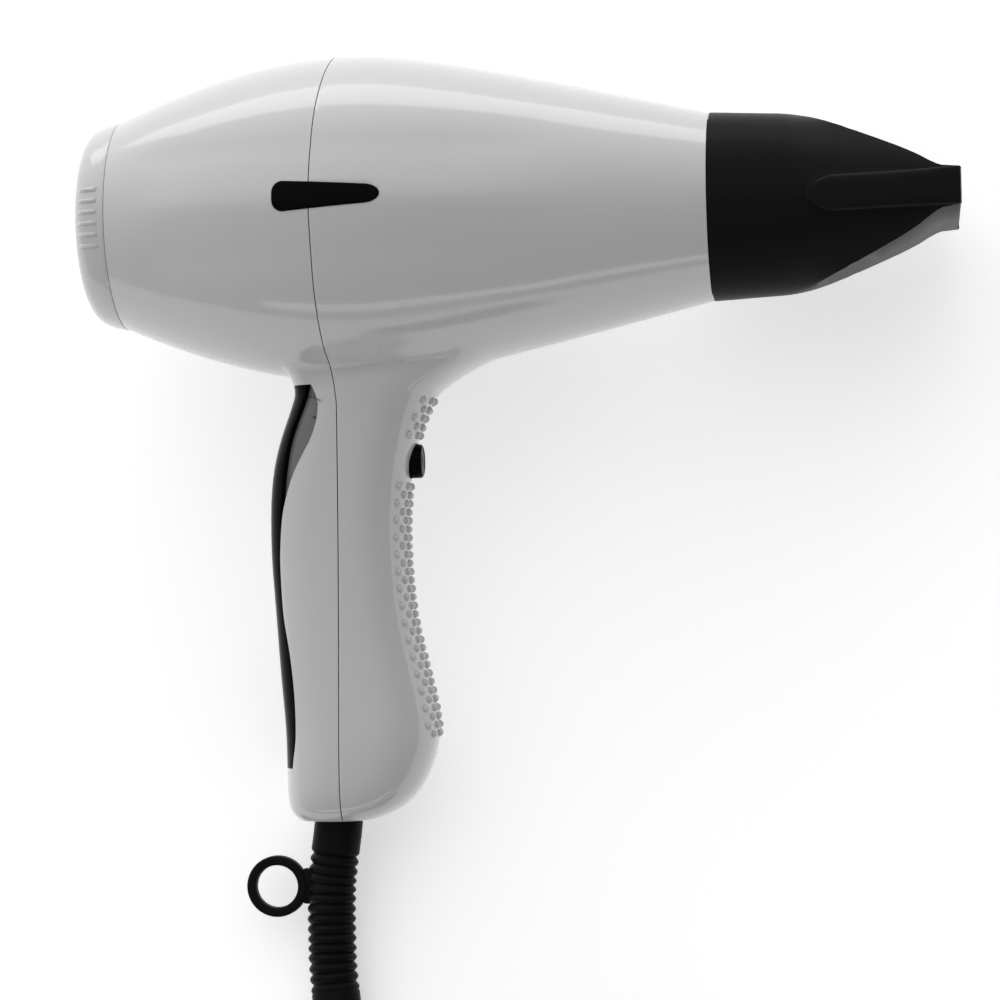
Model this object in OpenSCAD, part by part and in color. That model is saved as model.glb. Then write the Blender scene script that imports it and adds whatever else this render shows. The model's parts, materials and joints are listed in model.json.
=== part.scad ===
// Hand-held hair dryer with a flat air nozzle, lying on its side on a table.
// Every piece is drawn in the dryer's own axes and then laid down by laid():
//   X runs along the barrel towards the nozzle, with X = 0 at the split line of the housing,
//   Z runs from the handle up to the barrel, with Z = 0 on the barrel's axis,
//   -Y is the side that faces up when the dryer lies on the table.

/* [Barrel] */
// Largest radius of the barrel
barrel_r = 48; // [40:0.5:58]
// Length of the barrel in front of the split line
barrel_front = 111; // [92:1:134]
// Length of the barrel behind the split line, up to the rear cap
barrel_rear = 63; // [52:1:76]
// Radius of the barrel's front rim
front_r = 27.5; // [22.5:0.5:33]
// Radius of the barrel where the rear cap starts
cap_r = 31; // [29.5:0.5:37.5]
// Thickness of the housing's walls
wall = 2.2; // [1.8:0.1:2.6]
// Width of the line between two housing parts
seam_gap = 0.3; // [0.2:0.05:0.5]

/* [Handle] */
// Length of the handle below the barrel
grip_len = 129; // [107:1:155]
// Width of the handle across its sides, at its waist
grip_width = 35; // [32:0.5:42]
// Depth of the handle from back to front, at its waist
grip_depth = 41; // [38:0.5:49]
// Diameter of the cool-shot button
button_d = 10; // [8:0.5:12]
// Travel of the cool-shot button
button_travel = 2; // [1.5:0.1:2.5]
// Spacing of the grip nubs along the handle
nub_pitch = 5; // [4:0.5:6]
// Diameter of one grip nub
nub_d = 2.4; // [2:0.1:2.8]
// Length of one rocker key
rocker_len = 17; // [14:0.5:20]
// Width of one rocker key
rocker_width = 12; // [10:0.5:14]

/* [Air path] */
// Length of the rear cap
cap_len = 11; // [9:0.5:13]
// Radius of the fan
fan_r = 24; // [19:0.5:26]
// Number of fan blades
fan_blades = 9; // [5:1:11]
// Radius of the motor
motor_r = 15; // [12:0.5:18]
// Length of the motor
motor_len = 34; // [28:1:41]
// Number of heating wires along the heater
wire_count = 9; // [6:1:12]

/* [Nozzle] */
// Length of the nozzle in front of the barrel
nozzle_len = 73; // [61:1:88]
// Width of the nozzle's mouth
mouth_width = 76; // [64:1:90]
// Height of the nozzle's mouth, outside
mouth_height = 10.6; // [9:0.2:12.6]
// Thickness of the nozzle's walls
nozzle_wall = 1.6; // [1.3:0.1:1.9]

/* [Cord] */
// Diameter of the mains cord
cord_d = 8; // [7:0.5:9]
// Outer radius of the cord guard
guard_r = 7.1; // [6:0.1:8.4]
// Length of the cord guard outside the handle
guard_len = 62; // [52:1:74]
// Radius of the hole in the hanging loop
loop_hole_r = 6.2; // [5.2:0.1:7.4]
// Thickness of the hanging loop
loop_thick = 4; // [3.2:0.1:4.8]

/* [Hidden] */
$fn = 72;

shell_grey = [0.74, 0.74, 0.74];
black_gloss = [0.03, 0.03, 0.03];
black_satin = [0.05, 0.05, 0.05];
black_rubber = [0.04, 0.04, 0.04];
steel = [0.7, 0.7, 0.72];
copper = [0.7, 0.4, 0.25];
mica = [0.72, 0.66, 0.52];

run_gap = 0.08;       // radial clearance of what turns on a round seat
fit_gap = 0.3;        // clearance of a piece that drops into its place
peak_x = 6;           // where the barrel is thickest
handle_bottom = barrel_r + grip_len;
rear_x = -(barrel_rear + cap_len);
nose_x = barrel_front + nozzle_len;

// ---- how the dryer lies on the table ----
foot_width = grip_width / 2 * 1.07;
foot_reach = handle_bottom - 20;
rest_tilt = asin((barrel_r - foot_width) / foot_reach) - 0.1;
guard_tip_y = -handle_bottom * cos(rest_tilt) - guard_len;
lie_x = -(rear_x + nose_x) / 2;
lie_y = -(barrel_r + guard_tip_y) / 2;

module laid() translate([lie_x, lie_y, barrel_r]) rotate([-(90 - rest_tilt), 0, 0]) children();
function laid_point(p) = [lie_x + p[0],
    lie_y + p[1] * sin(rest_tilt) + p[2] * cos(rest_tilt),
    barrel_r - p[1] * cos(rest_tilt) + p[2] * sin(rest_tilt)];
module along_x(x = 0) translate([x, 0, 0]) rotate([0, 90, 0]) children();

// ---- helpers ----
// closed solid through rings that have the same number of points
module loft(rings) {
    n = len(rings[0]);
    m = len(rings);
    side = [for (j = [0:m - 2]) for (i = [0:n - 1]) let (k = (i + 1) % n)
        each [[j * n + i, j * n + k, (j + 1) * n + k], [j * n + i, (j + 1) * n + k, (j + 1) * n + i]]];
    polyhedron([for (r = rings) each r], concat([[for (i = [n - 1:-1:0]) i]],
        side, [[for (i = [0:n - 1]) (m - 1) * n + i]]));
}
function unit(v) = v / norm(v);
function heading(p, i) = unit(p[min(i + 1, len(p) - 1)] - p[max(i - 1, 0)]);
// round bar along points, with one radius per point; up is a direction the bar never takes
module bar(points, radii, up, sides = 12) loft([for (i = [0:len(points) - 1])
    let (t = heading(points, i), a = unit(cross(t, up)), b = cross(a, t))
    [for (k = [0:sides - 1]) points[i] + radii[i] * (cos(k * 360 / sides) * a + sin(k * 360 / sides) * b)]]);
module tube(x, length, outer, inner) along_x(x) difference() {
    cylinder(r = outer, h = length);
    translate([0, 0, -1]) cylinder(r = inner, h = length + 2);
}
module box(x, y, z) translate([x[0], y[0], z[0]]) cube([x[1] - x[0], y[1] - y[0], z[1] - z[0]]);
// the smooth line through a list of [place, value, value...]
function spline(p0, p1, p2, p3, t) = 0.5 * (2 * p1 + (p2 - p0) * t + (2 * p0 - 5 * p1 + 4 * p2 - p3) * t * t
    + (3 * p1 - p0 - 3 * p2 + p3) * t * t * t);
function span_of(list, s, i = 0) = (i >= len(list) - 2 || s < list[i + 1][0]) ? i : span_of(list, s, i + 1);
function smooth(list, s) = let (i = span_of(list, s), n = len(list) - 1,
    t = (s - list[i][0]) / (list[i + 1][0] - list[i][0]))
    spline(list[max(i - 1, 0)], list[i], list[i + 1], list[min(i + 2, n)], t);

// ---- outlines ----
function ease(u, c) = (sqrt(c * c + u * u) - c) / (sqrt(c * c + 1) - c);
function barrel_rad(x) = x > peak_x
    ? barrel_r - (barrel_r - front_r) * ease((x - peak_x) / (barrel_front - peak_x), 0.25)
    : barrel_r - (barrel_r - cap_r) * ease((peak_x - x) / (barrel_rear + peak_x), 1.4);
barrel_steps = [for (i = [0:22]) -barrel_rear + i / 22 * (barrel_front + barrel_rear)];
module barrel_form(inset = 0, over = 0) along_x() rotate_extrude() polygon(concat(
    [[0, -barrel_rear - over], [cap_r - inset, -barrel_rear - over]],
    [for (x = barrel_steps) [barrel_rad(x) - inset, x]],
    [[front_r - inset, barrel_front + over + 0.001], [0, barrel_front + over + 0.001]]));

// handle stations: [share of the grip below the barrel, back, front, half width], with back and front as
// shares of half the waist's depth, and half width as a share of half the waist's width
grip_stations = [[-0.11, -0.58, 2.45, 1.12], [-0.04, -0.6, 2.12, 1.1], [-0.01, -0.6, 1.77, 1.08],
    [0.023, -0.62, 1.48, 1.06], [0.057, -0.69, 1.32, 1.04], [0.091, -0.765, 1.21, 1.03],
    [0.126, -0.856, 1.137, 1.02], [0.194, -0.968, 1.04, 1], [0.262, -1.022, 0.971, 0.99],
    [0.365, -1.032, 0.939, 0.98], [0.434, -1.022, 0.957, 0.98], [0.502, -0.985, 0.99, 0.99],
    [0.57, -0.96, 1.05, 1], [0.638, -0.935, 1.153, 1.02], [0.707, -0.905, 1.256, 1.04],
    [0.775, -0.87, 1.335, 1.06], [0.81, -0.86, 1.35, 1.07], [0.844, -0.855, 1.319, 1.07],
    [0.878, -0.855, 1.242, 1.06], [0.912, -0.855, 1.15, 1.04], [0.946, -0.85, 1, 1],
    [0.98, -0.81, 0.753, 0.88], [1, -0.68, 0.42, 0.72]];
grip_shape = 2.5;     // exponent of the handle's rounded section
function grip_at(s, inset) = let (g = smooth(grip_stations, s))
    [g[1] * grip_depth / 2 + inset, g[2] * grip_depth / 2 - inset, g[3] * grip_width / 2 - inset];
function grip_z(s) = -barrel_r - s * grip_len;
function power(v, e) = sign(v) * pow(abs(v), e);
// a point of the handle's surface at share s, a degrees round from the front
function grip_point(s, a, inset = 0) =
    let (g = grip_at(s, inset), mid = (g[0] + g[1]) / 2, half = (g[1] - g[0]) / 2)
    [mid + half * power(cos(a), 2 / grip_shape), g[2] * power(sin(a), 2 / grip_shape), grip_z(s)];
// how far forward the handle's surface is at share s, y off its middle
function grip_front(s, y) = let (g = grip_at(s, 0), mid = (g[0] + g[1]) / 2, half = (g[1] - g[0]) / 2)
    mid + half * pow(1 - pow(abs(y) / g[2], grip_shape), 1 / grip_shape);
grip_shares = [-0.11, -0.04, 0, 0.045, 0.1, 0.17, 0.25, 0.34, 0.44, 0.53, 0.62, 0.71, 0.79, 0.86, 0.92,
    0.96, 0.985, 1];
module handle_form(inset = 0, floor_rise = 0) {
    last = 1 - floor_rise / grip_len;
    used = concat([for (s = grip_shares) if (s < last - 0.004) s], [last]);
    loft([for (s = used) [for (i = [0:31]) grip_point(s, i * 360 / 32, inset)]]);
}

// ---- the split line between front and rear housing ----
function seam_x(z) = let (t = min(1, max(0, (-z - barrel_r + 8) / 16)))
    t * t * (3 - 2 * t) * (1.9 - 1.6 * max(0, (-z - barrel_r - 8) / grip_len));
seam_zs = concat([barrel_r + 10], [for (i = [0:8]) -barrel_r + 8 - i * 2], [-handle_bottom - 10]);
module ahead_of_seam(gap) rotate([90, 0, 0]) linear_extrude(6 * barrel_r, center = true)
    polygon(concat([for (z = seam_zs) [seam_x(z) + gap, z]],
        [[barrel_front + 20, -handle_bottom - 10], [barrel_front + 20, barrel_r + 10]]));
module behind_seam(gap) rotate([90, 0, 0]) linear_extrude(6 * barrel_r, center = true)
    polygon(concat([for (z = seam_zs) [seam_x(z) - gap, z]],
        [[-barrel_rear - 20, -handle_bottom - 10], [-barrel_rear - 20, barrel_r + 10]]));

// ---- the insert in the back of the handle ----
// edges seen from the side: [share of the grip, place as a share of half the waist's depth]
surround_edge = [[-0.01, -0.4], [0.02, -0.26], [0.06, -0.19], [0.123, -0.28], [0.198, -0.53], [0.24, -0.65],
    [0.299, -0.755], [0.36, -0.8], [0.42, -0.815], [0.531, -0.785], [0.624, -0.69], [0.72, -0.634],
    [0.813, -0.634], [0.88, -0.7]];
bezel_edge = [[-0.01, -0.3], [0.011, -0.34], [0.043, -0.42], [0.1045, -0.575], [0.152, -0.667],
    [0.187, -0.708], [0.233, -0.743], [0.292, -0.775], [0.36, -0.8]];
insert_top = 0.012;
insert_end = 0.877;
function black_edge(s) = (s < 0.36 ? smooth(bezel_edge, s) : smooth(surround_edge, s))[1];
function grey_edge(s) = smooth(surround_edge, s)[1];
insert_steps = [for (i = [0:24]) insert_top + i / 24 * (insert_end - insert_top)];
// all that lies behind an edge, from the insert's top to its end, grown by gap
module behind(edge, gap) rotate([90, 0, 0]) linear_extrude(4 * barrel_r, center = true)
    polygon(concat([[-2 * grip_depth, grip_z(insert_top) + gap]],
        [for (i = [0:24]) let (e = edge[i]) [e[0] + gap, e[1] + (i == 0 ? gap : i == 24 ? -gap : 0)]],
        [[-2 * grip_depth, grip_z(insert_end) - gap]]));
black_line = [for (s = insert_steps) [black_edge(s) * grip_depth / 2, grip_z(s)]];
grey_line = [for (s = insert_steps) [grey_edge(s) * grip_depth / 2, grip_z(s)]];
insert_deep = 3.4;    // how deep the insert reaches below the handle's surface
grey_sunk = 1.4;      // how far the grey surround lies below the handle's surface

// ---- the places of the switches ----
speed_z = grip_z(0.27);
heat_z = speed_z - rocker_len - 2.2;
rocker_zs = [speed_z, heat_z];
pivot_x = grip_at(0.2, 0)[0] + 5.8;
pin_r = 1.3;
cheek_in = rocker_width / 2 + 0.4;
button_s = 0.186;
button_z = grip_z(button_s);
button_x = grip_at(button_s, 0)[1];
flange_r = button_d / 2 + 1.2;
flange_x = min(grip_front(button_s, flange_r), grip_front(button_s + flange_r / grip_len, 0)) - wall - 0.4;
stem_r = 1.8;
switch_x = flange_x - 11;

// ---- the round pieces inside the barrel ----
socket_r = front_r - 2;
collar_r = socket_r - run_gap;
collar_out = 11;      // how far the collar stands out of the front rim
collar_in = collar_r - 2;
tube_r = collar_in - 0.4;
shroud_r = cap_r - wall - 1.2;
shroud_in = shroud_r - 1.5;
blade_r = min(fan_r, shroud_in - 0.8);
shaft_r = 1.6;
fan_x = -barrel_rear + 9;
fan_depth = 11;
motor_x = fan_x + fan_depth + 2.5;
heat_x = motor_x + motor_len + 7;
heat_end = barrel_front - 13;
spigot_r = cap_r - wall - run_gap;

// ---- the cord's way ----
guard_x = -0.14 * grip_depth / 2;
guard_bend = [[0, 0], [9, -1.2], [20, -2.4], [28, -2.6], [36, -2.5], [43, -2.3], [53, -1.3], [62, -0.2],
    [80, 2]];
guard_lift = (guard_r + 0.25 - barrel_r + (handle_bottom + guard_len) * sin(rest_tilt))
    / cos(rest_tilt) / (guard_len * guard_len);
// the cord's middle, d below the handle's foot
function guard_mid(d) = [guard_x + (d > 0 ? smooth(guard_bend, d * 62 / guard_len)[1] : 0),
    d > 0 ? -guard_lift * d * d : 0, -handle_bottom - d];
rib_pitch = 2.87;
rib_first = 9;
rib_last = guard_len - 12;
coil_r = 6 * cord_d;
lane_out = coil_r + 1.94 * cord_d;      // where the cord joins and leaves the coil
coil_lift = 0.6;
lane_step = 1.0125 * cord_d;
tip = laid_point(guard_mid(guard_len));
coil_x = tip[0] + lane_out;
coil_y = tip[1] - 8 - coil_r - 2.4 * cord_d;

// ---- housing ----
badge_len = 30.6;
badge_x = -10.5;
badge_z = 2.2;
// the badge's outline seen from the side, grown by gap
module badge_outline(gap = 0) translate([badge_x, badge_z]) polygon(concat(
    [for (a = [90:15:180]) [3 + (3 + gap) * cos(a), 1.2 + (3 + gap) * sin(a)]],
    [for (a = [180:15:270]) [3 + (3 + gap) * cos(a), -1.2 + (3 + gap) * sin(a)]],
    [for (a = [-80:20:80]) [badge_len - 4.6 + (4.6 + gap) * cos(a), (2.6 + gap) * sin(a)]]));
module badge(side) color(black_gloss) intersection() {
    difference() {
        barrel_form(-0.3);
        barrel_form(0.9, 1);
    }
    rotate([90, 0, 0]) translate([0, 0, side > 0 ? 20 : -60]) linear_extrude(40) badge_outline();
}
module badge_pockets() difference() {
    rotate([90, 0, 0]) linear_extrude(4 * barrel_r, center = true) badge_outline(0.15);
    barrel_form(1.1, 1);
}

screw_angles = [40, 140];
screw_seat = 8;       // from the seam back to the screw's head
function screw_at(a) = let (r = barrel_rad(-16) - wall - 2.6) [r * cos(a), r * sin(a)];
module screw_posts(from, to, r) intersection() {
    for (a = screw_angles) translate([from, screw_at(a)[0], screw_at(a)[1]]) rotate([0, 90, 0])
        cylinder(r = r, h = to - from, $fn = 24);
    barrel_form(0.6);
}
module screw_holes(from, to, r) for (a = screw_angles) translate([from, screw_at(a)[0], screw_at(a)[1]])
    rotate([0, 90, 0]) cylinder(r = r, h = to - from, $fn = 24);

module shell_solid() difference() {
    union() {
        barrel_form();
        handle_form();
    }
    barrel_form(wall, 1);
    handle_form(wall, wall * 1.4);
    badge_pockets();
    translate([guard_x, 0, -handle_bottom - 1]) cylinder(r = guard_r + 0.2, h = wall * 1.4 + 3);
}
clamp_z = grip_z(0.9);
clamp_y = 8;
clamp_x = guard_x + cord_d / 2 + 0.1;
module front_shell() color(shell_grey) difference() {
    union() {
        intersection() {
            shell_solid();
            ahead_of_seam(seam_gap / 2);
        }
        screw_posts(seam_gap / 2, 14, 5.4);
        for (s = [-1, 1]) translate([clamp_x + 4.2, s * clamp_y, clamp_z]) rotate([0, 90, 0])
            cylinder(r = 2.8, h = grip_front(0.9, clamp_y + 2) - 0.8 - clamp_x - 4.2, $fn = 24);
    }
    along_x(barrel_front - 14) cylinder(r = collar_r + 0.05, h = 20);
    screw_holes(-1, 11, 1.25);
    for (s = [-1, 1]) translate([clamp_x + 3, s * clamp_y, clamp_z]) rotate([0, 90, 0])
        cylinder(r = 1.05, h = 9, $fn = 24);
    translate([button_x - 12, 0, button_z]) rotate([0, 90, 0]) cylinder(r = button_d / 2 + fit_gap, h = 20);
}
module rear_shell() color(shell_grey) difference() {
    union() {
        intersection() {
            shell_solid();
            behind_seam(seam_gap / 2);
        }
        screw_posts(-screw_seat, -seam_gap / 2, 5.4);
    }
    screw_holes(-screw_seat - 1, 1, 1.7);
    behind(grey_line, 0.15);
    along_x(-barrel_rear - 1) cylinder(r = cap_r - wall, h = 9);
}
module shell_screws() color(steel) for (a = screw_angles)
    translate([-screw_seat - 2.2, screw_at(a)[0], screw_at(a)[1]]) rotate([0, 90, 0]) difference() {
        union() {
            cylinder(r = 2.6, h = 2.1, $fn = 24);
            cylinder(r = 1.5, h = screw_seat + 2.1, $fn = 24);
            cylinder(r = 1.25, h = screw_seat + 12, $fn = 24);
        }
        for (t = [0, 90]) rotate(t) translate([-1.8, -0.3, -1]) cube([3.6, 0.6, 2.2]);
    }

nub_row = nub_pitch / 2;
nub_column = grip_width * 0.089;
function nub_rows() = floor(grip_len * 0.87 / nub_row);
module grip_nubs() color(shell_grey) for (i = [0:nub_rows()]) let (s = 0.05 + i * nub_row / grip_len)
    if (abs(grip_z(s) - button_z) > button_d / 2 + 2.2 && s < 0.82)
        for (k = i % 2 == 0 ? [-3, -1, 1, 3] : [-2, 0, 2])
            translate([grip_front(s, k * nub_column), k * nub_column, grip_z(s)])
                sphere(r = nub_d / 2, $fn = 13);

// ---- rear cap ----
cap_profile = [[0, 0], [0.27, -0.6], [0.55, -1.6], [0.73, -2.9], [0.87, -4.8], [0.95, -7.8], [0.985, -14],
    [1, -30]];
function cap_rad(u) = cap_r + smooth(cap_profile, u)[1] * cap_r / 31;
module cap_form(inset = 0) along_x() rotate_extrude() polygon(concat(
    let (x = -barrel_rear - seam_gap + (inset > 0 ? 1 : 0)) [[0, x], [cap_r - inset, x]],
    [for (p = cap_profile) if (p[0] > 0 && p[0] < 1)
        [cap_rad(p[0]) - inset, -barrel_rear - seam_gap - p[0] * (cap_len - seam_gap) + inset * 0.9]],
    [[0, rear_x + inset * 0.9 + 0.05]]));
module rear_cap() color(shell_grey) difference() {
    union() {
        difference() {
            cap_form();
            cap_form(2);
        }
        tube(-barrel_rear - 2, 8, spigot_r, spigot_r - 1.8);
        for (s = [-1, 1]) for (z = [-2.5:1:2.5]) translate([-barrel_rear - 1.6, 0, z * 3.25])
            rotate([0, 0, 0]) intersection() {
                translate([-6.4, s > 0 ? 0 : -cap_r - 2, -0.6]) cube([6, cap_r + 2, 1.2]);
                translate([1.6 + barrel_rear, 0, -z * 3.25]) cap_form(-0.6);
            }
    }
    for (ring = [0:2]) let (count = [9, 18, 24][ring]) for (k = [0:count - 1]) rotate([k * 360 / count, 0, 0])
        translate([rear_x - 2, -1.1, 5 + ring * 6]) cube([7, 2.2, 4.4]);
    along_x(-barrel_rear - cap_len + 3) cylinder(r = cap_r - 7.5, h = cap_len + 8);
}
module intake_mesh() color(steel) difference() {
    tube(-barrel_rear - cap_len + 3.2, 0.8, cap_r - 7.7, 0.5);
    for (y = [-7:7]) for (z = [-7:7]) if (norm([y, z]) * 3 < cap_r - 10.5)
        translate([-barrel_rear - cap_len + 2, y * 3 - 1, z * 3 - 1]) cube([4, 2, 2]);
}
module filter_foam() color([0.2, 0.2, 0.21]) along_x(-barrel_rear - cap_len + 4.1)
    cylinder(r = cap_r - 7.8, h = 5);

// ---- air path ----
module fan_shroud() color(black_satin) difference() {
    union() {
        tube(-barrel_rear + 6.5, motor_x + motor_len + barrel_rear - 6.5, shroud_r, shroud_in);
        tube(motor_x + 3, motor_len - 12, motor_r + 2, motor_r + 0.1);
        for (a = [0:360 / 7:359]) rotate([a, 0, 0])
            box([motor_x + 4, motor_x + motor_len - 12], [-0.8, 0.8], [motor_r + 1, shroud_in + 0.6]);
        for (a = [45:90:359]) rotate([a, 0, 0])
            box([-42, -35], [-1, 1], [shroud_in + 0.4, barrel_rad(-42) - wall - fit_gap]);
    }
}
module fan_impeller() color(black_satin) difference() {
    union() {
        along_x(fan_x) cylinder(r = 8.5, h = fan_depth - 2);
        for (a = [0:360 / fan_blades:359]) rotate([a, 0, 0]) translate([fan_x + fan_depth / 2 - 1, 0, 7.5])
            rotate([0, 0, 38]) translate([-4.6, -0.6, 0]) cube([9.2, 1.2, blade_r - 8.1]);
    }
    along_x(fan_x - 1) cylinder(r = shaft_r + 0.02, h = fan_depth + 4, $fn = 36);
}
module motor_shaft() color(steel) union() {
    along_x(fan_x - 0.6) cylinder(r = shaft_r, h = motor_x + motor_len - fan_x + 2, $fn = 36);
    along_x(motor_x + 8) cylinder(r = motor_r * 0.62, h = motor_len - 16);
}
module motor_can() color([0.55, 0.55, 0.57]) difference() {
    along_x(motor_x) cylinder(r = motor_r, h = motor_len);
    along_x(motor_x + 1.2) cylinder(r = motor_r - 1.2, h = motor_len - 2.4);
    along_x(motor_x - 1) cylinder(r = 5.02, h = motor_len + 2);
    for (a = [30:60:359]) rotate([a, 0, 0]) box([motor_x - 1, motor_x + motor_len + 1], [-1.5, 1.5],
        [7, motor_r - 3]);
}
module motor_bearings() color([0.75, 0.6, 0.35]) for (x = [motor_x, motor_x + motor_len - 3.4])
    tube(x, 3.4, 5, shaft_r + run_gap);
module heat_tube() color(mica) difference() {
    union() {
        along_x(heat_x - 4) cylinder(r = tube_r, h = heat_end - heat_x + 4);
        along_x(heat_x - 8.5) cylinder(r = shroud_in - 0.15, h = 6);
    }
    along_x(heat_x - 10) cylinder(r = tube_r - 0.8, h = heat_end - heat_x + 20);
}
board_r = tube_r - 0.95;
wire_r = board_r - 4.2;
module heater_boards() color(mica) union() for (a = [0, 90]) rotate([a, 0, 0]) {
    box([heat_x, heat_end], [-0.4, 0.4], [-wire_r + 0.7, wire_r - 0.7]);
    for (x = [heat_x, heat_end - 5]) box([x, x + 5], [-0.4, 0.4], [-board_r, board_r]);
}
module heater_wires() color(copper) for (i = [0:wire_count - 1])
    along_x(heat_x + 9 + i * (heat_end - heat_x - 19) / max(1, wire_count - 1))
        rotate_extrude() translate([wire_r, 0]) circle(r = 0.6, $fn = 13);
module thermostat() color([0.8, 0.78, 0.7]) translate([heat_x + 24, 0.45, 7.5]) rotate([-90, 0, 0]) union() {
    cylinder(r = 4.2, h = 3, $fn = 36);
    translate([-6.5, -1.5, 0]) cube([13, 3, 0.8]);
}
module thermal_fuse() color([0.8, 0.8, 0.82]) translate([heat_x + 36, -2.1, -7]) rotate([0, 90, 0]) union() {
    cylinder(r = 1.6, h = 9, $fn = 24);
    translate([0, 0, -6]) cylinder(r = 0.5, h = 21, $fn = 13);
}
module outlet_collar() color(black_satin) difference() {
    union() {
        along_x(barrel_front - 11) cylinder(r = collar_r, h = 11 + collar_out);
        along_x(barrel_front - 14.5) cylinder(r = barrel_rad(barrel_front - 11) - wall - fit_gap, h = 2);
        along_x(barrel_front - 14) cylinder(r = collar_r, h = 5);
        along_x(barrel_front + 6) rotate_extrude()
            polygon([[collar_r - 1, 0], [collar_r, 0], [collar_r + 0.5, 1], [collar_r, 2],
                [collar_r - 1, 2]]);
    }
    along_x(barrel_front - 20) cylinder(r = collar_in, h = 40);
}
module outlet_grille() color(steel) intersection() {
    union() {
        for (r = [6:5:collar_in - 4]) tube(barrel_front - 9, 1.6, r + 0.5, r - 0.5);
        tube(barrel_front - 9, 3, collar_in - 0.05, collar_in - 1.2);
        for (a = [0:60:179]) rotate([a, 0, 0])
            box([barrel_front - 9, barrel_front - 7.4], [-0.6, 0.6], [-collar_in + 0.6, collar_in - 0.6]);
    }
    along_x(barrel_front - 10) cylinder(r = collar_in - 0.05, h = 6);
}

// ---- nozzle ----
skirt_end = barrel_front + nozzle_len * 0.33;
// section of the nozzle's body, a share t of the way from the skirt to the mouth
function nozzle_ring(t, inset, x) = let (
    w = (front_r - 0.06 - inset) * (1 - t) + (mouth_width / 2 - 0.8 - inset) * t,
    h = (front_r - 0.06 - inset) * (1 - t) + (mouth_height / 2 - 0.12 - inset) * t, e = 1 - 0.72 * t)
    [for (i = [0:39]) [x, w * power(cos(i * 9), e), -h * power(sin(i * 9), e)]];
module nozzle_body(inset, start, over) union() {
    loft([for (t = [0, 0.12, 0.3, 0.55, 0.8, 1])
        nozzle_ring(t * t * 0.25 + t * 0.75, inset,
            skirt_end - 1 + t * (nose_x - skirt_end + 1 - (over > 0 ? 0.3 : 0)))]);
    translate([0, 0, -mouth_height / 2 + inset]) linear_extrude(mouth_height - 2 * inset) polygon([
        [skirt_end + 4, -front_r * 0.93 + inset], [skirt_end + 9, -front_r - 1.2 + inset],
        [nose_x + over, -mouth_width / 2 + inset], [nose_x + over, mouth_width / 2 - inset],
        [skirt_end + 9, front_r + 1.2 - inset], [skirt_end + 4, front_r * 0.93 - inset]]);
    along_x(start) cylinder(r = front_r - inset, h = skirt_end - start);
}
module nozzle() color(black_satin) difference() {
    nozzle_body(0, barrel_front + seam_gap, 0);
    nozzle_body(nozzle_wall, barrel_front + collar_out, 1);
    along_x(barrel_front - 1) cylinder(r = socket_r, h = collar_out + 1.6);
    along_x(barrel_front + 5.7) rotate_extrude()
        polygon([[socket_r - 1, 0], [socket_r, 0], [socket_r + 0.6, 1.3], [socket_r, 2.6],
            [socket_r - 1, 2.6]]);
}

// ---- switches ----
module lugs(gap) for (z = rocker_zs) for (s = [-1, 1]) box([pivot_x - 2.6 - gap, pivot_x + 6 + gap],
    s > 0 ? [cheek_in - gap, cheek_in + 1.6 + gap] : [-cheek_in - 1.6 - gap, -cheek_in + gap],
    [z - 4 - gap, z + 4 + gap]);
module switch_bezel() color(black_gloss) difference() {
    intersection() {
        difference() {
            handle_form();
            handle_form(insert_deep);
        }
        behind(black_line, -0.1);
    }
    for (z = rocker_zs) box([-3 * grip_depth, pivot_x + 2], [-cheek_in, cheek_in],
        [z - rocker_len / 2 - 1, z + rocker_len / 2 + 1]);
    lugs(0.15);
}
module switch_surround() color([0.5, 0.5, 0.51]) difference() {
    intersection() {
        difference() {
            handle_form(grey_sunk);
            handle_form(insert_deep);
        }
        behind(grey_line, -0.1);
    }
    behind(black_line, 0.02);
    lugs(0.15);
}
module rocker(z) color(black_gloss) translate([pivot_x, 0, z]) rotate([90, 0, 0]) union() {
    linear_extrude(rocker_width - 0.2, center = true) polygon([[-5.2, -rocker_len / 2], [-4, 0],
        [-5.2, rocker_len / 2], [-1.5, rocker_len / 2], [2, 2.6], [2, -2.6], [-1.5, -rocker_len / 2]]);
    cylinder(r = pin_r, h = 2 * cheek_in + 2.8, center = true, $fn = 36);
}
module switch_block() color(black_satin) difference() {
    union() {
        box([pivot_x + 5.2, pivot_x + 14], [-cheek_in - 1.6, cheek_in + 1.6],
            [heat_z - rocker_len / 2 + 2, speed_z + rocker_len / 2 - 2]);
        lugs(0);
    }
    for (z = rocker_zs) translate([pivot_x, 0, z]) rotate([90, 0, 0])
        cylinder(r = pin_r + 0.06, h = 60, center = true, $fn = 36);
}
module cool_button() color(black_gloss) translate([0, 0, button_z]) rotate([0, 90, 0]) union() {
    translate([0, 0, flange_x - 1.2]) cylinder(r = flange_r, h = 1.2);
    translate([0, 0, flange_x - 0.1]) cylinder(r = button_d / 2, h = button_x + 2.2 - flange_x + 0.1);
    translate([0, 0, button_x + 2.19]) cylinder(r1 = button_d / 2 - 0.2, r2 = button_d / 2 - 1.2, h = 0.8);
    translate([0, 0, switch_x + button_travel + 0.6])
        cylinder(r = stem_r, h = flange_x - switch_x - button_travel - 0.8);
}
spring_turns = 4;
module cool_spring() color(steel) bar([for (i = [0:spring_turns * 14]) let (a = i * 360 / 14,
    u = i / (spring_turns * 14)) [switch_x + 0.55 + u * (flange_x - switch_x - 2.3), 3.2 * sin(a),
        button_z + 3.2 * cos(a)]], [for (i = [0:spring_turns * 14]) 0.35], [1, 0, 0], 6);
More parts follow.
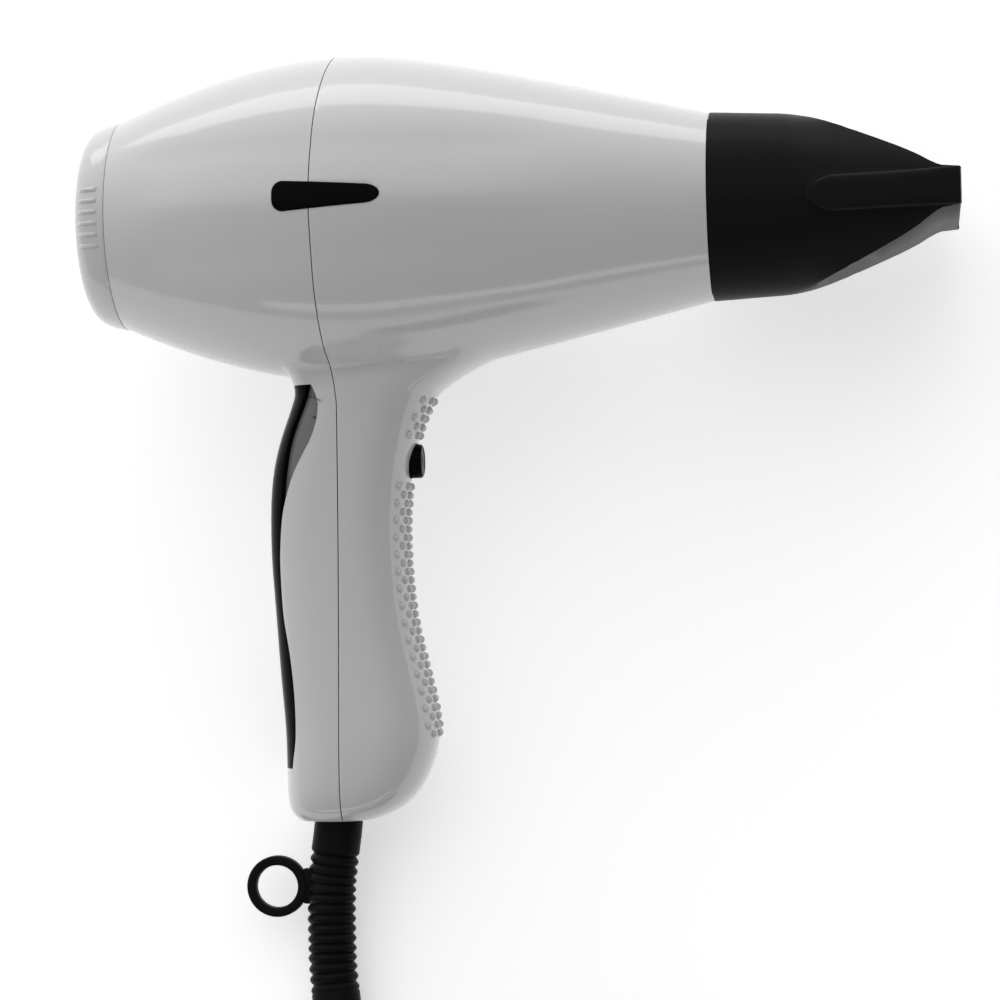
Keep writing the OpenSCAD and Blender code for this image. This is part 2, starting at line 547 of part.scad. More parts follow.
module cool_switch() color(black_satin) difference() {
    box([switch_x - 6.5, switch_x], [-6, 6], [button_z - 6, button_z + 6]);
    translate([switch_x - 2.2, 0, button_z]) rotate([0, 90, 0]) cylinder(r = stem_r + 0.3, h = 4);
}

// ---- cord ----
module cord_clamp() color(black_satin) difference() {
    box([clamp_x, clamp_x + 4], [-clamp_y - 3.4, clamp_y + 3.4], [clamp_z - 3.5, clamp_z + 3.5]);
    for (s = [-1, 1]) translate([clamp_x - 1, s * clamp_y, clamp_z]) rotate([0, 90, 0])
        cylinder(r = 1.5, h = 9, $fn = 24);
}
module clamp_screws() color(steel) for (s = [-1, 1]) translate([clamp_x - 1.9, s * clamp_y, clamp_z])
    rotate([0, 90, 0]) union() {
        cylinder(r = 2.5, h = 1.8, $fn = 24);
        cylinder(r = 1.3, h = 6, $fn = 24);
        cylinder(r = 1.05, h = 13.5, $fn = 24);
    }
function rib_rad(d) = d < rib_first || d > rib_last ? guard_r
    : guard_r - 0.3 + 0.3 * cos((d - rib_first) / rib_pitch * 360);
guard_steps = concat([-wall * 1.4 - 2.6, -wall * 1.4 - 0.4, -wall * 1.4 - 0.35, 0, 4, rib_first],
    [for (d = [rib_first + rib_pitch / 2:rib_pitch / 2:rib_last]) d],
    [rib_last + 0.3, guard_len - 2, guard_len]);
function guard_rad(i) = i < 2 ? guard_r + 2 : i == len(guard_steps) - 1 ? guard_r - 0.9
    : rib_rad(guard_steps[i]);
loop_d = 19.4;
loop_r = loop_hole_r + 2.8;
loop_at = guard_mid(loop_d) + [-(guard_r + loop_r + 0.15), 0, 0];
module cord_guard() color(black_rubber) difference() {
    union() {
        bar([for (d = guard_steps) guard_mid(d)], [for (i = [0:len(guard_steps) - 1]) guard_rad(i)],
            [0, 1, 0], 16);
        translate(loop_at) rotate([90, 0, 0]) cylinder(r = loop_r, h = loop_thick, center = true);
        box([loop_at[0] + loop_hole_r + 1, guard_x - 2],
            [loop_at[1] - loop_thick / 2 + 0.2, loop_at[1] + loop_thick / 2 - 0.2],
            [loop_at[2] - 5, loop_at[2] + 5]);
    }
    translate(loop_at) rotate([90, 0, 0]) cylinder(r = loop_hole_r, h = 30, center = true);
    bar([for (d = [-12, -6, -1, 0.5, 6, 13, 20, 30, 40, 50, 58, guard_len + 2]) guard_mid(d)],
        [for (i = [0:11]) cord_d / 2 + 0.15], [0, 1, 0], 16);
}
run_points = concat([for (d = [-14, -6, -1, 0.5, 6, 13, 20, 30, 40, 50, 58]) laid_point(guard_mid(d))],
    [tip, [tip[0] + 0.2, tip[1] - 6, tip[2] - 0.5], [tip[0] + 0.2, tip[1] - 14, cord_d / 2 + 1.6],
    [tip[0], tip[1] - 24, cord_d / 2 + coil_lift], [tip[0], tip[1] - 40, cord_d / 2 + coil_lift],
    [tip[0], coil_y + coil_r * 0.62, cord_d / 2 + coil_lift]]);
module cord_run() color(black_rubber)
    bar(run_points, [for (p = run_points) cord_d / 2], [1, 0, 0], 12);
coil_half = 2.4 * cord_d;
coil_h = lane_step + cord_d;
module cord_coil() color(black_rubber) translate([coil_x, coil_y, coil_lift]) rotate_extrude() polygon([
    for (s = [[-1, 2, 0], [1, 2, 0], [1, 0, 2], [1, 0, coil_h - 2], [1, 2, coil_h], [-1, 2, coil_h],
        [-1, 0, coil_h - 2], [-1, 0, 2]]) [coil_r + s[0] * (coil_half - s[1]), s[2]]]);
tie_in = sqrt(pow(coil_r - coil_half, 2) - 36) - 0.1;
module cord_tie() color(black_satin) translate([coil_x, coil_y, 0]) rotate([0, 0, 20]) difference() {
    box([tie_in - 0.5, coil_r + coil_half + 0.6], [-6, 6], [0.05, coil_lift + coil_h + 0.8]);
    box([tie_in, coil_r + coil_half + 0.1], [-7, 7], [0.5, coil_lift + coil_h + 0.3]);
}
plug_z = 13;
plug_x = coil_x + 46;
plug_y = coil_y - 96;
tail_points = [for (p = [[-22, -60.6, 12.7], [-12, -66.2, 12.3], [-2, -71.8, 11.6], [8, -77.4, 10.9],
    [18, -82.9, 10.7], [26, -88, 11], [32, -92.4, 11.8], [38, -95.2, 12.6], [44, -96, 13], [50, -96, 13]])
    [coil_x + p[0], coil_y + p[1], p[2]]];
module cord_tail() color(black_rubber)
    bar(tail_points, [for (p = tail_points) cord_d / 2], [0, 0, 1], 12);
module plug_body() color(black_rubber) translate([plug_x, plug_y, plug_z]) rotate([0, 90, 0]) difference() {
    union() {
        for (y = [-5, 5]) translate([0, y, 14]) cylinder(r = 12.9, h = 22);
        translate([-12.9, -5, 14]) cube([25.8, 10, 22]);
        cylinder(r1 = 7, r2 = 11.5, h = 14.01);
    }
    translate([0, 0, -1]) cylinder(r = cord_d / 2 + 0.1, h = 6);
    for (y = [-9.5, 9.5]) translate([0, y, 30]) cylinder(r = 2.4, h = 10, $fn = 36);
}
module plug_pins() color(steel) translate([plug_x, plug_y, plug_z]) rotate([0, 90, 0])
    for (y = [-9.5, 9.5]) translate([0, y, 30.05]) union() {
        cylinder(r = 2.35, h = 23.5, $fn = 36);
        translate([0, 0, 23.49]) cylinder(r1 = 2.35, r2 = 1.3, h = 1.3, $fn = 36);
    }

laid() front_shell();
laid() rear_shell();
laid() rear_cap();
laid() intake_mesh();
laid() filter_foam();
laid() nozzle();
laid() outlet_collar();
laid() outlet_grille();
laid() heat_tube();
laid() heater_boards();
laid() heater_wires();
laid() thermostat();
laid() thermal_fuse();
laid() fan_shroud();
laid() fan_impeller();
laid() motor_shaft();
laid() motor_can();
laid() motor_bearings();
laid() badge(1);  // badge_left
laid() badge(-1);  // badge_right
laid() shell_screws();
laid() switch_bezel();
laid() switch_surround();
laid() switch_block();
laid() rocker(speed_z);  // speed_rocker
laid() rocker(heat_z);  // heat_rocker
laid() cool_button();
laid() cool_spring();
laid() cool_switch();
laid() grip_nubs();
laid() cord_clamp();
laid() clamp_screws();
laid() cord_guard();
cord_run();
cord_coil();
cord_tie();
cord_tail();
plug_body();
plug_pins();
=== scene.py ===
import bpy
import bmesh
import json
import math
from mathutils import Matrix, Vector


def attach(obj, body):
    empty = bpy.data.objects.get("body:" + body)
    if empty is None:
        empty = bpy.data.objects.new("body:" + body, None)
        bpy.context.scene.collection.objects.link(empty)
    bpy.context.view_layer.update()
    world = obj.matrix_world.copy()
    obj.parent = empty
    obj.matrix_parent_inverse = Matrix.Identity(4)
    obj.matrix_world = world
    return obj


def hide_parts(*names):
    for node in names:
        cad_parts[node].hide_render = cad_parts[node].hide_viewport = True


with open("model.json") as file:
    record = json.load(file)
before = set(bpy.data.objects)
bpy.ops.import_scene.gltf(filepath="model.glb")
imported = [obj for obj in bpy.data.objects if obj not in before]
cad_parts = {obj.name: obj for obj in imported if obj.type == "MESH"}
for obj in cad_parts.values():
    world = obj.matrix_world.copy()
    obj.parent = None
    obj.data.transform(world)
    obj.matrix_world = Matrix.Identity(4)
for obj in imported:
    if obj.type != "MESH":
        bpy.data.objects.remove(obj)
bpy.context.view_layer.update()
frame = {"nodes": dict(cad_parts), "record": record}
bpy.ops.object.select_all(action="DESELECT")

# The dryer's own axes: x to the nozzle, z up the handle to the barrel, -y is the side that faces up.
jointList = {joint["name"]: joint for joint in frame["record"]["behaviour"]["joints"]}
sideways = Vector(jointList["speed_rocker_tilt"]["axis"])
barrelAxis = Vector(jointList["nozzle_spin"]["pos_m"])
upward = Vector((1, 0, 0)).cross(sideways)
toTable = Matrix(((1, sideways.x, upward.x, barrelAxis.x), (0, sideways.y, upward.y, barrelAxis.y),
                  (0, sideways.z, upward.z, barrelAxis.z), (0, 0, 0, 1)))
mm = 0.001


# camera
cameraView = {"side": 7.05, "height": -1.4, "roll": 1.2, "distance": 1.0, "aim": (46.9, 0.0, -84.0),
              "lens": 122.6}


def placeCamera(v):
    side, height, roll = (math.radians(v[k]) for k in ("side", "height", "roll"))
    back = Vector((math.sin(side) * math.cos(height), -math.cos(side) * math.cos(height), math.sin(height)))
    right = Vector((0, 0, 1)).cross(back).normalized()
    up = back.cross(right)
    tiltedRight = right * math.cos(roll) - up * math.sin(roll)
    tiltedUp = up * math.cos(roll) + right * math.sin(roll)
    bpy.ops.object.camera_add()
    camera = bpy.context.object
    turn = toTable.to_3x3() @ Matrix((tiltedRight, tiltedUp, back)).transposed()
    place = toTable @ (Vector(v["aim"]) * mm + back * v["distance"])
    camera.matrix_world = Matrix.Translation(place) @ turn.to_4x4()
    camera.data.lens = v["lens"]
    camera.data.sensor_width = 36
    bpy.context.scene.camera = camera


placeCamera(cameraView)
print("camera placed")


# finishes
def feed(tree, entry, value):
    # a socket takes another node's output or a plain value
    if isinstance(value, Flow):
        tree.links.new(value.socket, entry)
    else:
        entry.default_value = value


class Flow:
    # one output of a shader node, which adds Math nodes when it is used in a sum
    def __init__(self, tree, socket):
        self.tree, self.socket = tree, socket

    def maths(self, operation, first, second):
        total = self.tree.nodes.new("ShaderNodeMath")
        total.operation = operation
        for entry, value in zip(total.inputs, (first, second)):
            feed(self.tree, entry, value)
        return Flow(self.tree, total.outputs[0])

    def __add__(self, other): return self.maths("ADD", self, other)
    def __radd__(self, other): return self.maths("ADD", other, self)
    def __mul__(self, other): return self.maths("MULTIPLY", self, other)
    def __rmul__(self, other): return self.maths("MULTIPLY", other, self)


class Finish:
    def __init__(self, name):
        self.material = bpy.data.materials.new(name)
        self.material.use_nodes = True
        self.tree = self.material.node_tree
        self.shader = self.tree.nodes["Principled BSDF"]
        self.place = self.node("ShaderNodeTexCoord", output="Object")

    def node(self, kind, values=None, output=0):
        new = self.tree.nodes.new(kind)
        for key, value in (values or {}).items():
            feed(self.tree, new.inputs[key], value)
        return Flow(self.tree, new.outputs[output])

    def stretched(self, scale):
        return self.node("ShaderNodeMapping", {"Vector": self.place, "Scale": scale})

    def noise(self, scale, detail=2, place=None):
        values = {"Vector": place or self.place, "Scale": scale, "Detail": detail}
        return self.node("ShaderNodeTexNoise", values)

    def blend(self, factor, first, second):
        # a colour between two colours
        mix = self.tree.nodes.new("ShaderNodeMix")
        mix.data_type = "RGBA"
        for entry, value in zip([s for s in mix.inputs if s.enabled], (factor, first, second)):
            feed(self.tree, entry, value)
        return Flow(self.tree, [s for s in mix.outputs if s.enabled][0])

    def give(self, **values):
        for key, value in values.items():
            feed(self.tree, self.shader.inputs[key.replace("_", " ")], value)

    def bump(self, height, distance, under=None):
        values = {"Height": height, "Distance": distance, "Strength": 1.0}
        if under is not None:
            values["Normal"] = under
        return self.node("ShaderNodeBump", values)


def grey(level, tint=(1, 1, 1)):
    return (level * tint[0], level * tint[1], level * tint[2], 1)


finishValues = {"shellGrey": 0.58, "shellRough": 0.13, "blackLevel": 0.006, "satinRough": 0.36}


def mouldedPlastic(name, level, rough, coat=0.0, grain=0.000004, grainScale=900, spread=0.05,
                   tint=(1, 1, 1), ior=1.5):
    # injection-moulded plastic: a faint waviness, a fine grain, slightly uneven gloss
    f = Finish(name)
    cloud, fine, wave = f.noise(35, 3), f.noise(grainScale, 2), f.noise(60, 1)
    f.give(Base_Color=f.blend(cloud, grey(level * (1 - spread), tint), grey(level * (1 + spread), tint)),
           Roughness=rough * 0.85 + rough * 0.3 * fine + 0.02 * cloud,
           Normal=f.bump(fine, grain, under=f.bump(wave, 0.00002)), IOR=ior)
    if coat:
        f.give(Coat_Weight=coat, Coat_Roughness=0.04)
    return f.material


def metal(name, colour, rough, stretch=(1, 1, 1), scale=600):
    f = Finish(name)
    lines = f.noise(scale, 4, f.stretched(stretch))
    stain = f.noise(120, 3)
    f.give(Base_Color=f.blend(stain, tuple(c * 0.82 for c in colour[:3]) + (1,), colour), Metallic=1.0,
           Roughness=rough * 0.7 + rough * 0.6 * lines, Normal=f.bump(lines, 0.000004))
    return f.material


def foamFinish(name):
    f = Finish(name)
    cells = f.node("ShaderNodeTexVoronoi", {"Vector": f.place, "Scale": 900})
    f.give(Base_Color=f.blend(cells, grey(0.015), grey(0.07)), Roughness=0.95, Normal=f.bump(cells, 0.0004))
    return f.material


def micaFinish(name):
    f = Finish(name)
    flakes = f.node("ShaderNodeTexVoronoi", {"Vector": f.place, "Scale": 500})
    veins = f.noise(260, 5)
    f.give(Base_Color=f.blend(veins, (0.46, 0.38, 0.22, 1), (0.68, 0.6, 0.42, 1)),
           Roughness=0.35 + 0.3 * flakes, Normal=f.bump(veins, 0.00005))
    return f.material


def rubberFinish(name, level=0.006, rough=0.38):
    f = Finish(name)
    skin, dust = f.noise(1400, 3), f.noise(80, 4)
    f.give(Base_Color=f.blend(dust, grey(level * 0.8), grey(level * 1.3)),
           Roughness=rough - 0.08 + 0.14 * dust, Normal=f.bump(skin, 0.000012), IOR=1.12)
    return f.material


fv = finishValues
finishes = {
    "shell": mouldedPlastic("shellGloss", fv["shellGrey"], fv["shellRough"], coat=0.5,
                            grain=0.000002, spread=0.015),
    "black_gloss": mouldedPlastic("blackGloss", fv["blackLevel"] * 0.6, 0.14, grain=0.000001, ior=1.08),
    "black_satin": mouldedPlastic("blackSatin", fv["blackLevel"] * 1.3, fv["satinRough"], grain=0.00002,
                                  grainScale=1300, ior=1.12),
    "mid_grey": mouldedPlastic("midGrey", 0.14, 0.28, grain=0.000006),
    "rubber": rubberFinish("cordRubber"),
    "steel": metal("spunSteel", (0.62, 0.62, 0.64, 1), 0.3, (1, 8, 1)),
    "nickel": metal("pinNickel", (0.78, 0.75, 0.7, 1), 0.16),
    "bronze": metal("bearingBronze", (0.6, 0.4, 0.2, 1), 0.38),
    "heating_wire": metal("heatingWire", (0.5, 0.4, 0.34, 1), 0.4),
    "mica": micaFinish("micaSheet"),
    "ceramic": mouldedPlastic("ceramicBody", 0.6, 0.5, grain=0.00001, tint=(1, 0.97, 0.9)),
    "foam": foamFinish("filterFoam"),
}
print("finishes mixed")


# modelling helpers
def editing():
    bpy.ops.object.mode_set(mode="EDIT")


def leftEditing():
    bpy.ops.object.mode_set(mode="OBJECT")


def choose(action="SELECT"):
    bpy.ops.mesh.select_all(action=action)


def applied():
    bpy.ops.object.transform_apply(location=True, rotation=True, scale=True)


def pick(piece):
    if bpy.context.object and bpy.context.object.mode != "OBJECT":
        leftEditing()
    bpy.ops.object.select_all(action="DESELECT")
    piece.select_set(True)
    bpy.context.view_layer.objects.active = piece
    return piece


def started(name):
    piece = bpy.context.object
    piece.name = name
    editing()
    bpy.ops.mesh.select_mode(type="VERT")
    return piece


def faceOutward(piece):
    # an open tube's faces are turned away from its middle
    middle = sum((v.co for v in piece.data.vertices), Vector()) / len(piece.data.vertices)
    if sum((f.center - middle).dot(f.normal) * f.area for f in piece.data.polygons) < 0:
        pick(piece)
        editing()
        choose()
        bpy.ops.mesh.flip_normals()
        leftEditing()
    return piece


def placeSelected(piece, before, after):
    # moves the selected points, which lie at before, to after
    shape = bmesh.from_edit_mesh(piece.data)
    spots = {tuple(round(c, 7) for c in p): number for number, p in enumerate(before)}
    for vertex in shape.verts:
        if vertex.select:
            vertex.co = after[spots[tuple(round(c, 7) for c in vertex.co)]]
    bmesh.update_edit_mesh(piece.data)


def growRings(piece, start, rings):
    # start is the selected ring of points; each next ring is extruded and shaped
    current = start
    for ring in rings:
        bpy.ops.mesh.extrude_region_move()
        ring = [Vector(p) * mm for p in ring]
        placeSelected(piece, single(piece, current), ring)
        current = single(piece, ring)


def single(piece, points):
    # the points as the mesh stores them, in single precision
    shape = bmesh.from_edit_mesh(piece.data)
    probe = shape.verts.new((0, 0, 0))
    stored = []
    for point in points:
        probe.co = point
        stored.append(probe.co.copy())
    shape.verts.remove(probe)
    return stored


def loftRings(name, rings, closeFirst=True, closeLast=True):
    bpy.ops.mesh.primitive_circle_add(vertices=len(rings[0]), radius=0.01)
    piece = started(name)
    choose()
    shape = bmesh.from_edit_mesh(piece.data)
    shape.verts.ensure_lookup_table()
    for vertex, point in zip(shape.verts, rings[0]):
        vertex.co = Vector(point) * mm
    bmesh.update_edit_mesh(piece.data)
    first = [v.co.copy() for v in shape.verts]
    if closeFirst:
        bpy.ops.mesh.edge_face_add()
        bpy.ops.mesh.select_mode(type="EDGE")
    growRings(piece, first, rings[1:])
    if closeLast and not closeFirst:
        bpy.ops.mesh.edge_face_add()
    bpy.ops.mesh.select_mode(type="VERT")
    choose()
    bpy.ops.mesh.remove_doubles(threshold=1e-6)
    bpy.ops.mesh.normals_make_consistent(inside=False)
    leftEditing()
    return faceOutward(piece)


def lathe(name, profile, steps=72, axis="x", centre=(0, 0, 0)):
    # profile is (along, radius) in mm; the line is drawn and spun round its axis
    points = [(x, 0, r) if axis == "x" else (r, 0, x) for x, r in profile]
    points = [Vector((p[0] + centre[0], p[1] + centre[1], p[2] + centre[2])) * mm for p in points]
    bpy.ops.mesh.primitive_plane_add(size=0.001, location=points[0])
    piece = started(name)
    choose()
    bpy.ops.mesh.merge(type="CENTER")
    leftEditing()
    applied()
    editing()
    choose()
    for a, b in zip(points, points[1:]):
        bpy.ops.mesh.extrude_region_move(TRANSFORM_OT_translate={"value": b - a})
    choose()
    bpy.ops.mesh.spin(steps=steps, angle=2 * math.pi, center=Vector(centre) * mm,
                      axis=(1, 0, 0) if axis == "x" else (0, 0, 1))
    choose()
    bpy.ops.mesh.remove_doubles(threshold=2e-6)
    bpy.ops.mesh.normals_make_consistent(inside=False)
    leftEditing()
    return faceOutward(piece)


def modify(piece, kind, **settings):
    pick(piece)
    modifier = piece.modifiers.new(kind.lower(), kind)
    for key, value in settings.items():
        setattr(modifier, key, value)
    bpy.ops.object.modifier_apply(modifier=modifier.name)
    return piece


def wallInward(piece, thickness, bevel=0.0, segments=2, angle=50):
    modify(piece, "SOLIDIFY", thickness=thickness * mm, offset=-1, use_even_offset=True, use_rim=True)
    if bevel:
        modify(piece, "BEVEL", width=bevel * mm, segments=segments, limit_method="ANGLE",
               angle_limit=math.radians(angle))
    return piece


def copyOf(piece, name):
    pick(piece)
    bpy.ops.object.duplicate()
    twin = bpy.context.object
    twin.name = name
    return twin


def prism(name, outline, reach=90):
    # outline is (x, z) in mm, drawn in the side view and pulled through along y
    points = [Vector((x, -reach, z)) * mm for x, z in outline]
    bpy.ops.mesh.primitive_circle_add(vertices=len(points), radius=0.01)
    piece = started(name)
    shape = bmesh.from_edit_mesh(piece.data)
    shape.verts.ensure_lookup_table()
    for vertex, point in zip(shape.verts, points):
        vertex.co = point
    bmesh.update_edit_mesh(piece.data)
    choose()
    bpy.ops.mesh.edge_face_add()
    bpy.ops.mesh.extrude_region_move(TRANSFORM_OT_translate={"value": (0, 2 * reach * mm, 0)})
    choose()
    bpy.ops.mesh.normals_make_consistent(inside=False)
    leftEditing()
    piece.data.materials.append(cutMark)
    return piece


cutMark = bpy.data.materials.new("cutMark")


def carve(piece, cutter, operation="DIFFERENCE"):
    # a boolean whose new faces carry the cutter's mark
    modify(piece, "BOOLEAN", object=cutter, operation=operation, solver="EXACT", material_mode="TRANSFER")
    bpy.data.objects.remove(cutter)
    return piece


def deleteFaces(piece, test):
    # leaves the piece in edit mode
    pick(piece)
    editing()
    bpy.ops.mesh.select_mode(type="FACE")
    choose("DESELECT")
    for face in bmesh.from_edit_mesh(piece.data).faces:
        face.select = bool(test(face))
    bmesh.update_edit_mesh(piece.data)
    bpy.ops.mesh.delete(type="FACE")


def dropMarked(piece):
    # takes away the faces that a cutter left, so that only the skin stays
    marks = {number for number, m in enumerate(piece.data.materials) if m and m.name.startswith("cutMark")}
    deleteFaces(piece, lambda face: face.material_index in marks)
    bpy.ops.mesh.select_mode(type="VERT")
    choose()
    bpy.ops.mesh.remove_doubles(threshold=2e-5)
    bpy.ops.mesh.dissolve_degenerate(threshold=1e-5)
    leftEditing()
    return piece


def islands(piece):
    # the loose parts of a mesh as pieces of their own
    pick(piece)
    editing()
    choose()
    bpy.ops.mesh.separate(type="LOOSE")
    leftEditing()
    parts = list(bpy.context.selected_objects)
    return [p for p in parts if len(p.data.polygons) > 3]


def spanOf(piece, axis):
    values = [v.co[axis] / mm for v in piece.data.vertices]
    return min(values), max(values)


def joined(pieces, name):
    bpy.ops.object.select_all(action="DESELECT")
    for piece in pieces:
        piece.select_set(True)
    bpy.context.view_layer.objects.active = pieces[0]
    if len(pieces) > 1:
        bpy.ops.object.join()
    bpy.context.object.name = name
    return bpy.context.object


def finished(piece, slot, body, *nodes, angle=35, laid=True, name=None):
    # lays a piece down on the table, gives it its finish and fixes it to its body
    pick(piece)
    applied()
    if laid:
        piece.data.transform(toTable)
    piece.data.update()
    bpy.ops.object.shade_smooth_by_angle(angle=math.radians(angle))
    piece.data.materials.clear()
    piece.data.materials.append(finishes[slot])
    if name:
        piece.name = name
    if nodes:
        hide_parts(*nodes)
    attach(piece, body)
    return piece


def turnOf(degrees):
    return math.cos(math.radians(degrees)), math.sin(math.radians(degrees))


def spline(points, t):
    # the smooth line through the points at t, whose whole numbers are the points
    i = min(int(t), len(points) - 2)
    u = t - i
    p = [points[max(i - 1, 0)], points[i], points[i + 1], points[min(i + 2, len(points) - 1)]]
    return [0.5 * (2 * b + (c - a) * u + (2 * a - 5 * b + 4 * c - d) * u * u
                   + (3 * b - a - 3 * c + d) * u ** 3)
            for a, b, c, d in zip(*p)]


def readAlong(table, share):
    i = 0
    while i < len(table) - 2 and share >= table[i + 1][0]:
        i += 1
    return spline(table, i + (share - table[i][0]) / (table[i + 1][0] - table[i][0]))


# mains cord
cordSizes = {"diameter": 8.0, "coilCentre": (5.45, -216.77), "outerTurn": 63.52, "step": 8.1, "turns": 4,
             "lift": 4.6, "second": 12.7}
guardLine = [(0, -57.87, -79.98, 15.3), (4, -58.32, -83.91, 14.57), (9, -59.07, -88.84, 13.71),
             (15, -59.79, -94.76, 12.73), (20, -60.27, -99.7, 11.97), (28, -60.47, -107.63, 10.84),
             (36, -60.37, -115.58, 9.83), (43, -60.17, -122.55, 9.04), (53, -59.17, -132.55, 8.07),
             (58, -58.64, -137.55, 7.65), (62, -58.07, -141.57, 7.35)]
guardTip = Vector(guardLine[-1][1:])


def cordRoute(v):
    cx, cy = v["coilCentre"]
    tip = guardTip
    points = [tuple(tip), (tip.x + 0.2, tip.y - 6, tip.z - 0.5), (tip.x + 0.2, tip.y - 14, 5.6),
              (tip.x, tip.y - 24, 4.6), (tip.x, tip.y - 40, 4.6), (tip.x - 0.02, cy + 40, 4.6)]
    outer, step = v["outerTurn"], v["step"]
    turns = v["turns"]

    def turned(degrees, r, z):
        c, s = turnOf(degrees)
        points.append((cx + r * c, cy + r * s, z))

    # inward on the table, up over a sixth of a turn, then outward on the second layer
    inner = outer - step * turns
    for k in range(0, turns * 24 + 1):
        turned(180 + k * 15, outer - step * k / 24, v["lift"])
    for k in range(1, 5):
        share = k / 4
        turned(180 + k * 15, inner, v["lift"] + (v["second"] - v["lift"]) * (share * share * (3 - 2 * share)))
    for k in range(1, turns * 24 + 1):
        turned(240 + k * 15, inner + step * k / 24, v["second"])
    tail = [(-22, -60.6, 12.7), (-12, -66.2, 12.3), (-2, -71.8, 11.6), (8, -77.4, 10.9), (18, -82.9, 10.7),
            (26, -88, 11), (32, -92.4, 11.8), (38, -95.2, 12.6), (44, -96, 13), (50, -96, 13)]
    points += [(cx + p[0], cy + p[1], p[2]) for p in tail]
    return [Vector(spline(points, i / 3)) * mm for i in range((len(points) - 1) * 3 + 1)]


route = cordRoute(cordSizes)
bpy.ops.curve.primitive_bezier_curve_add()
cordPiece = bpy.context.object
cordPiece.name = "mainsCord"
cordPiece.data.splines.clear()
line = cordPiece.data.splines.new("POLY")
line.points.add(len(route) - 1)
for point, place in zip(line.points, route):
    point.co = (*place, 1)
cordPiece.data.dimensions = "3D"
cordPiece.data.bevel_depth = cordSizes["diameter"] / 2 * mm
cordPiece.data.bevel_resolution = 4
cordPiece.data.use_fill_caps = True
cordPiece.data.materials.append(finishes["rubber"])
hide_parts("cord_run", "cord_coil", "cord_tail")
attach(cordPiece, "housing")

# housing
housing = {"radius": 48.0, "front": 111.0, "rear": 63.0, "frontRadius": 27.5, "rearRadius": 31.0, "peak": 6.0,
           "wall": 2.2, "seam": 0.3, "handle": 129.0, "depth": 20.5, "width": 17.5, "round": 0.8,
           "creaseRise": 2.4, "creaseZ": 1.0, "buttonZ": -71.99, "guardX": -2.87,
           "frontCurve": 0.25, "rearCurve": 1.4}
gripStations = [(-0.11, -0.58, 2.45, 1.12), (-0.04, -0.6, 2.12, 1.1), (-0.01, -0.6, 1.77, 1.08),
                (0.023, -0.62, 1.48, 1.06), (0.057, -0.69, 1.32, 1.04), (0.091, -0.765, 1.21, 1.03),
                (0.126, -0.856, 1.137, 1.02), (0.194, -0.968, 1.04, 1), (0.262, -1.022, 0.971, 0.99),
                (0.365, -1.032, 0.939, 0.98), (0.434, -1.022, 0.957, 0.98), (0.502, -0.985, 0.99, 0.99),
                (0.57, -0.96, 1.05, 1), (0.638, -0.935, 1.153, 1.02), (0.707, -0.905, 1.256, 1.04),
                (0.775, -0.87, 1.335, 1.06), (0.81, -0.86, 1.35, 1.07), (0.844, -0.855, 1.319, 1.07),
                (0.878, -0.855, 1.242, 1.06), (0.912, -0.855, 1.15, 1.04), (0.946, -0.85, 1, 1),
                (0.98, -0.81, 0.753, 0.88), (1, -0.68, 0.42, 0.72)]


def barrelRadius(x):
    h = housing

    def ease(u, c):
        return (math.sqrt(c * c + u * u) - c) / (math.sqrt(c * c + 1) - c)
    if x > h["peak"]:
        share, end, curve = (x - h["peak"]) / (h["front"] - h["peak"]), h["frontRadius"], h["frontCurve"]
    else:
        share, end, curve = (h["peak"] - x) / (h["rear"] + h["peak"]), h["rearRadius"], h["rearCurve"]
    return h["radius"] - (h["radius"] - end) * ease(share, curve)


def seamAt(z):
    if z > 0:
        return 2.6 * (z / 48) ** 2
    t = min(1, max(0, (-z - 40) / 16))
    return t * t * (3 - 2 * t) * (1.9 - 1.6 * max(0, (-z - 56) / 129))


def gripShare(z):
    return (-z - housing["radius"]) / housing["handle"]


cageGrow = 1.00645  # what the rounding of a 32-sided cage takes back
stationXs = [-69, -66, -62, -56, -50, -44, -38, -32, -26, -20, -14, -8, -2, 4, 10, 16, 22, 28, 34, 39, 44,
             50, 56, 62, 68, 74, 80, 86, 92, 98, 104, 110, 114, 118]
neckXs = [x for x in stationXs if -14 <= x <= 44]


def cagePoint(x, k):
    a = math.radians(-90 + k * 11.25)
    r = barrelRadius(x) * cageGrow
    return Vector((x, r * math.cos(a), r * math.sin(a)))


def gripRing(z, shrink=1.0, sink=0.0):
    back, front, half = readAlong(gripStations, gripShare(z))[1:]
    back, front, half = back * housing["depth"], front * housing["depth"], half * housing["width"]
    mid, deep = (back + front) / 2, (front - back) / 2 * 1.012 * shrink
    half *= 1.012 * shrink
    angles = ([145 - 11 * j for j in range(11)] + [17.5, 0, -17.5] + [-35 - 11 * j for j in range(11)]
              + [-162.5, 180, 162.5])
    ring = []
    for c, s in map(turnOf, angles):
        ring.append((mid + deep * math.copysign(abs(c) ** housing["round"], c),
                     -half * math.copysign(abs(s) ** housing["round"], s), z - sink))
    return ring


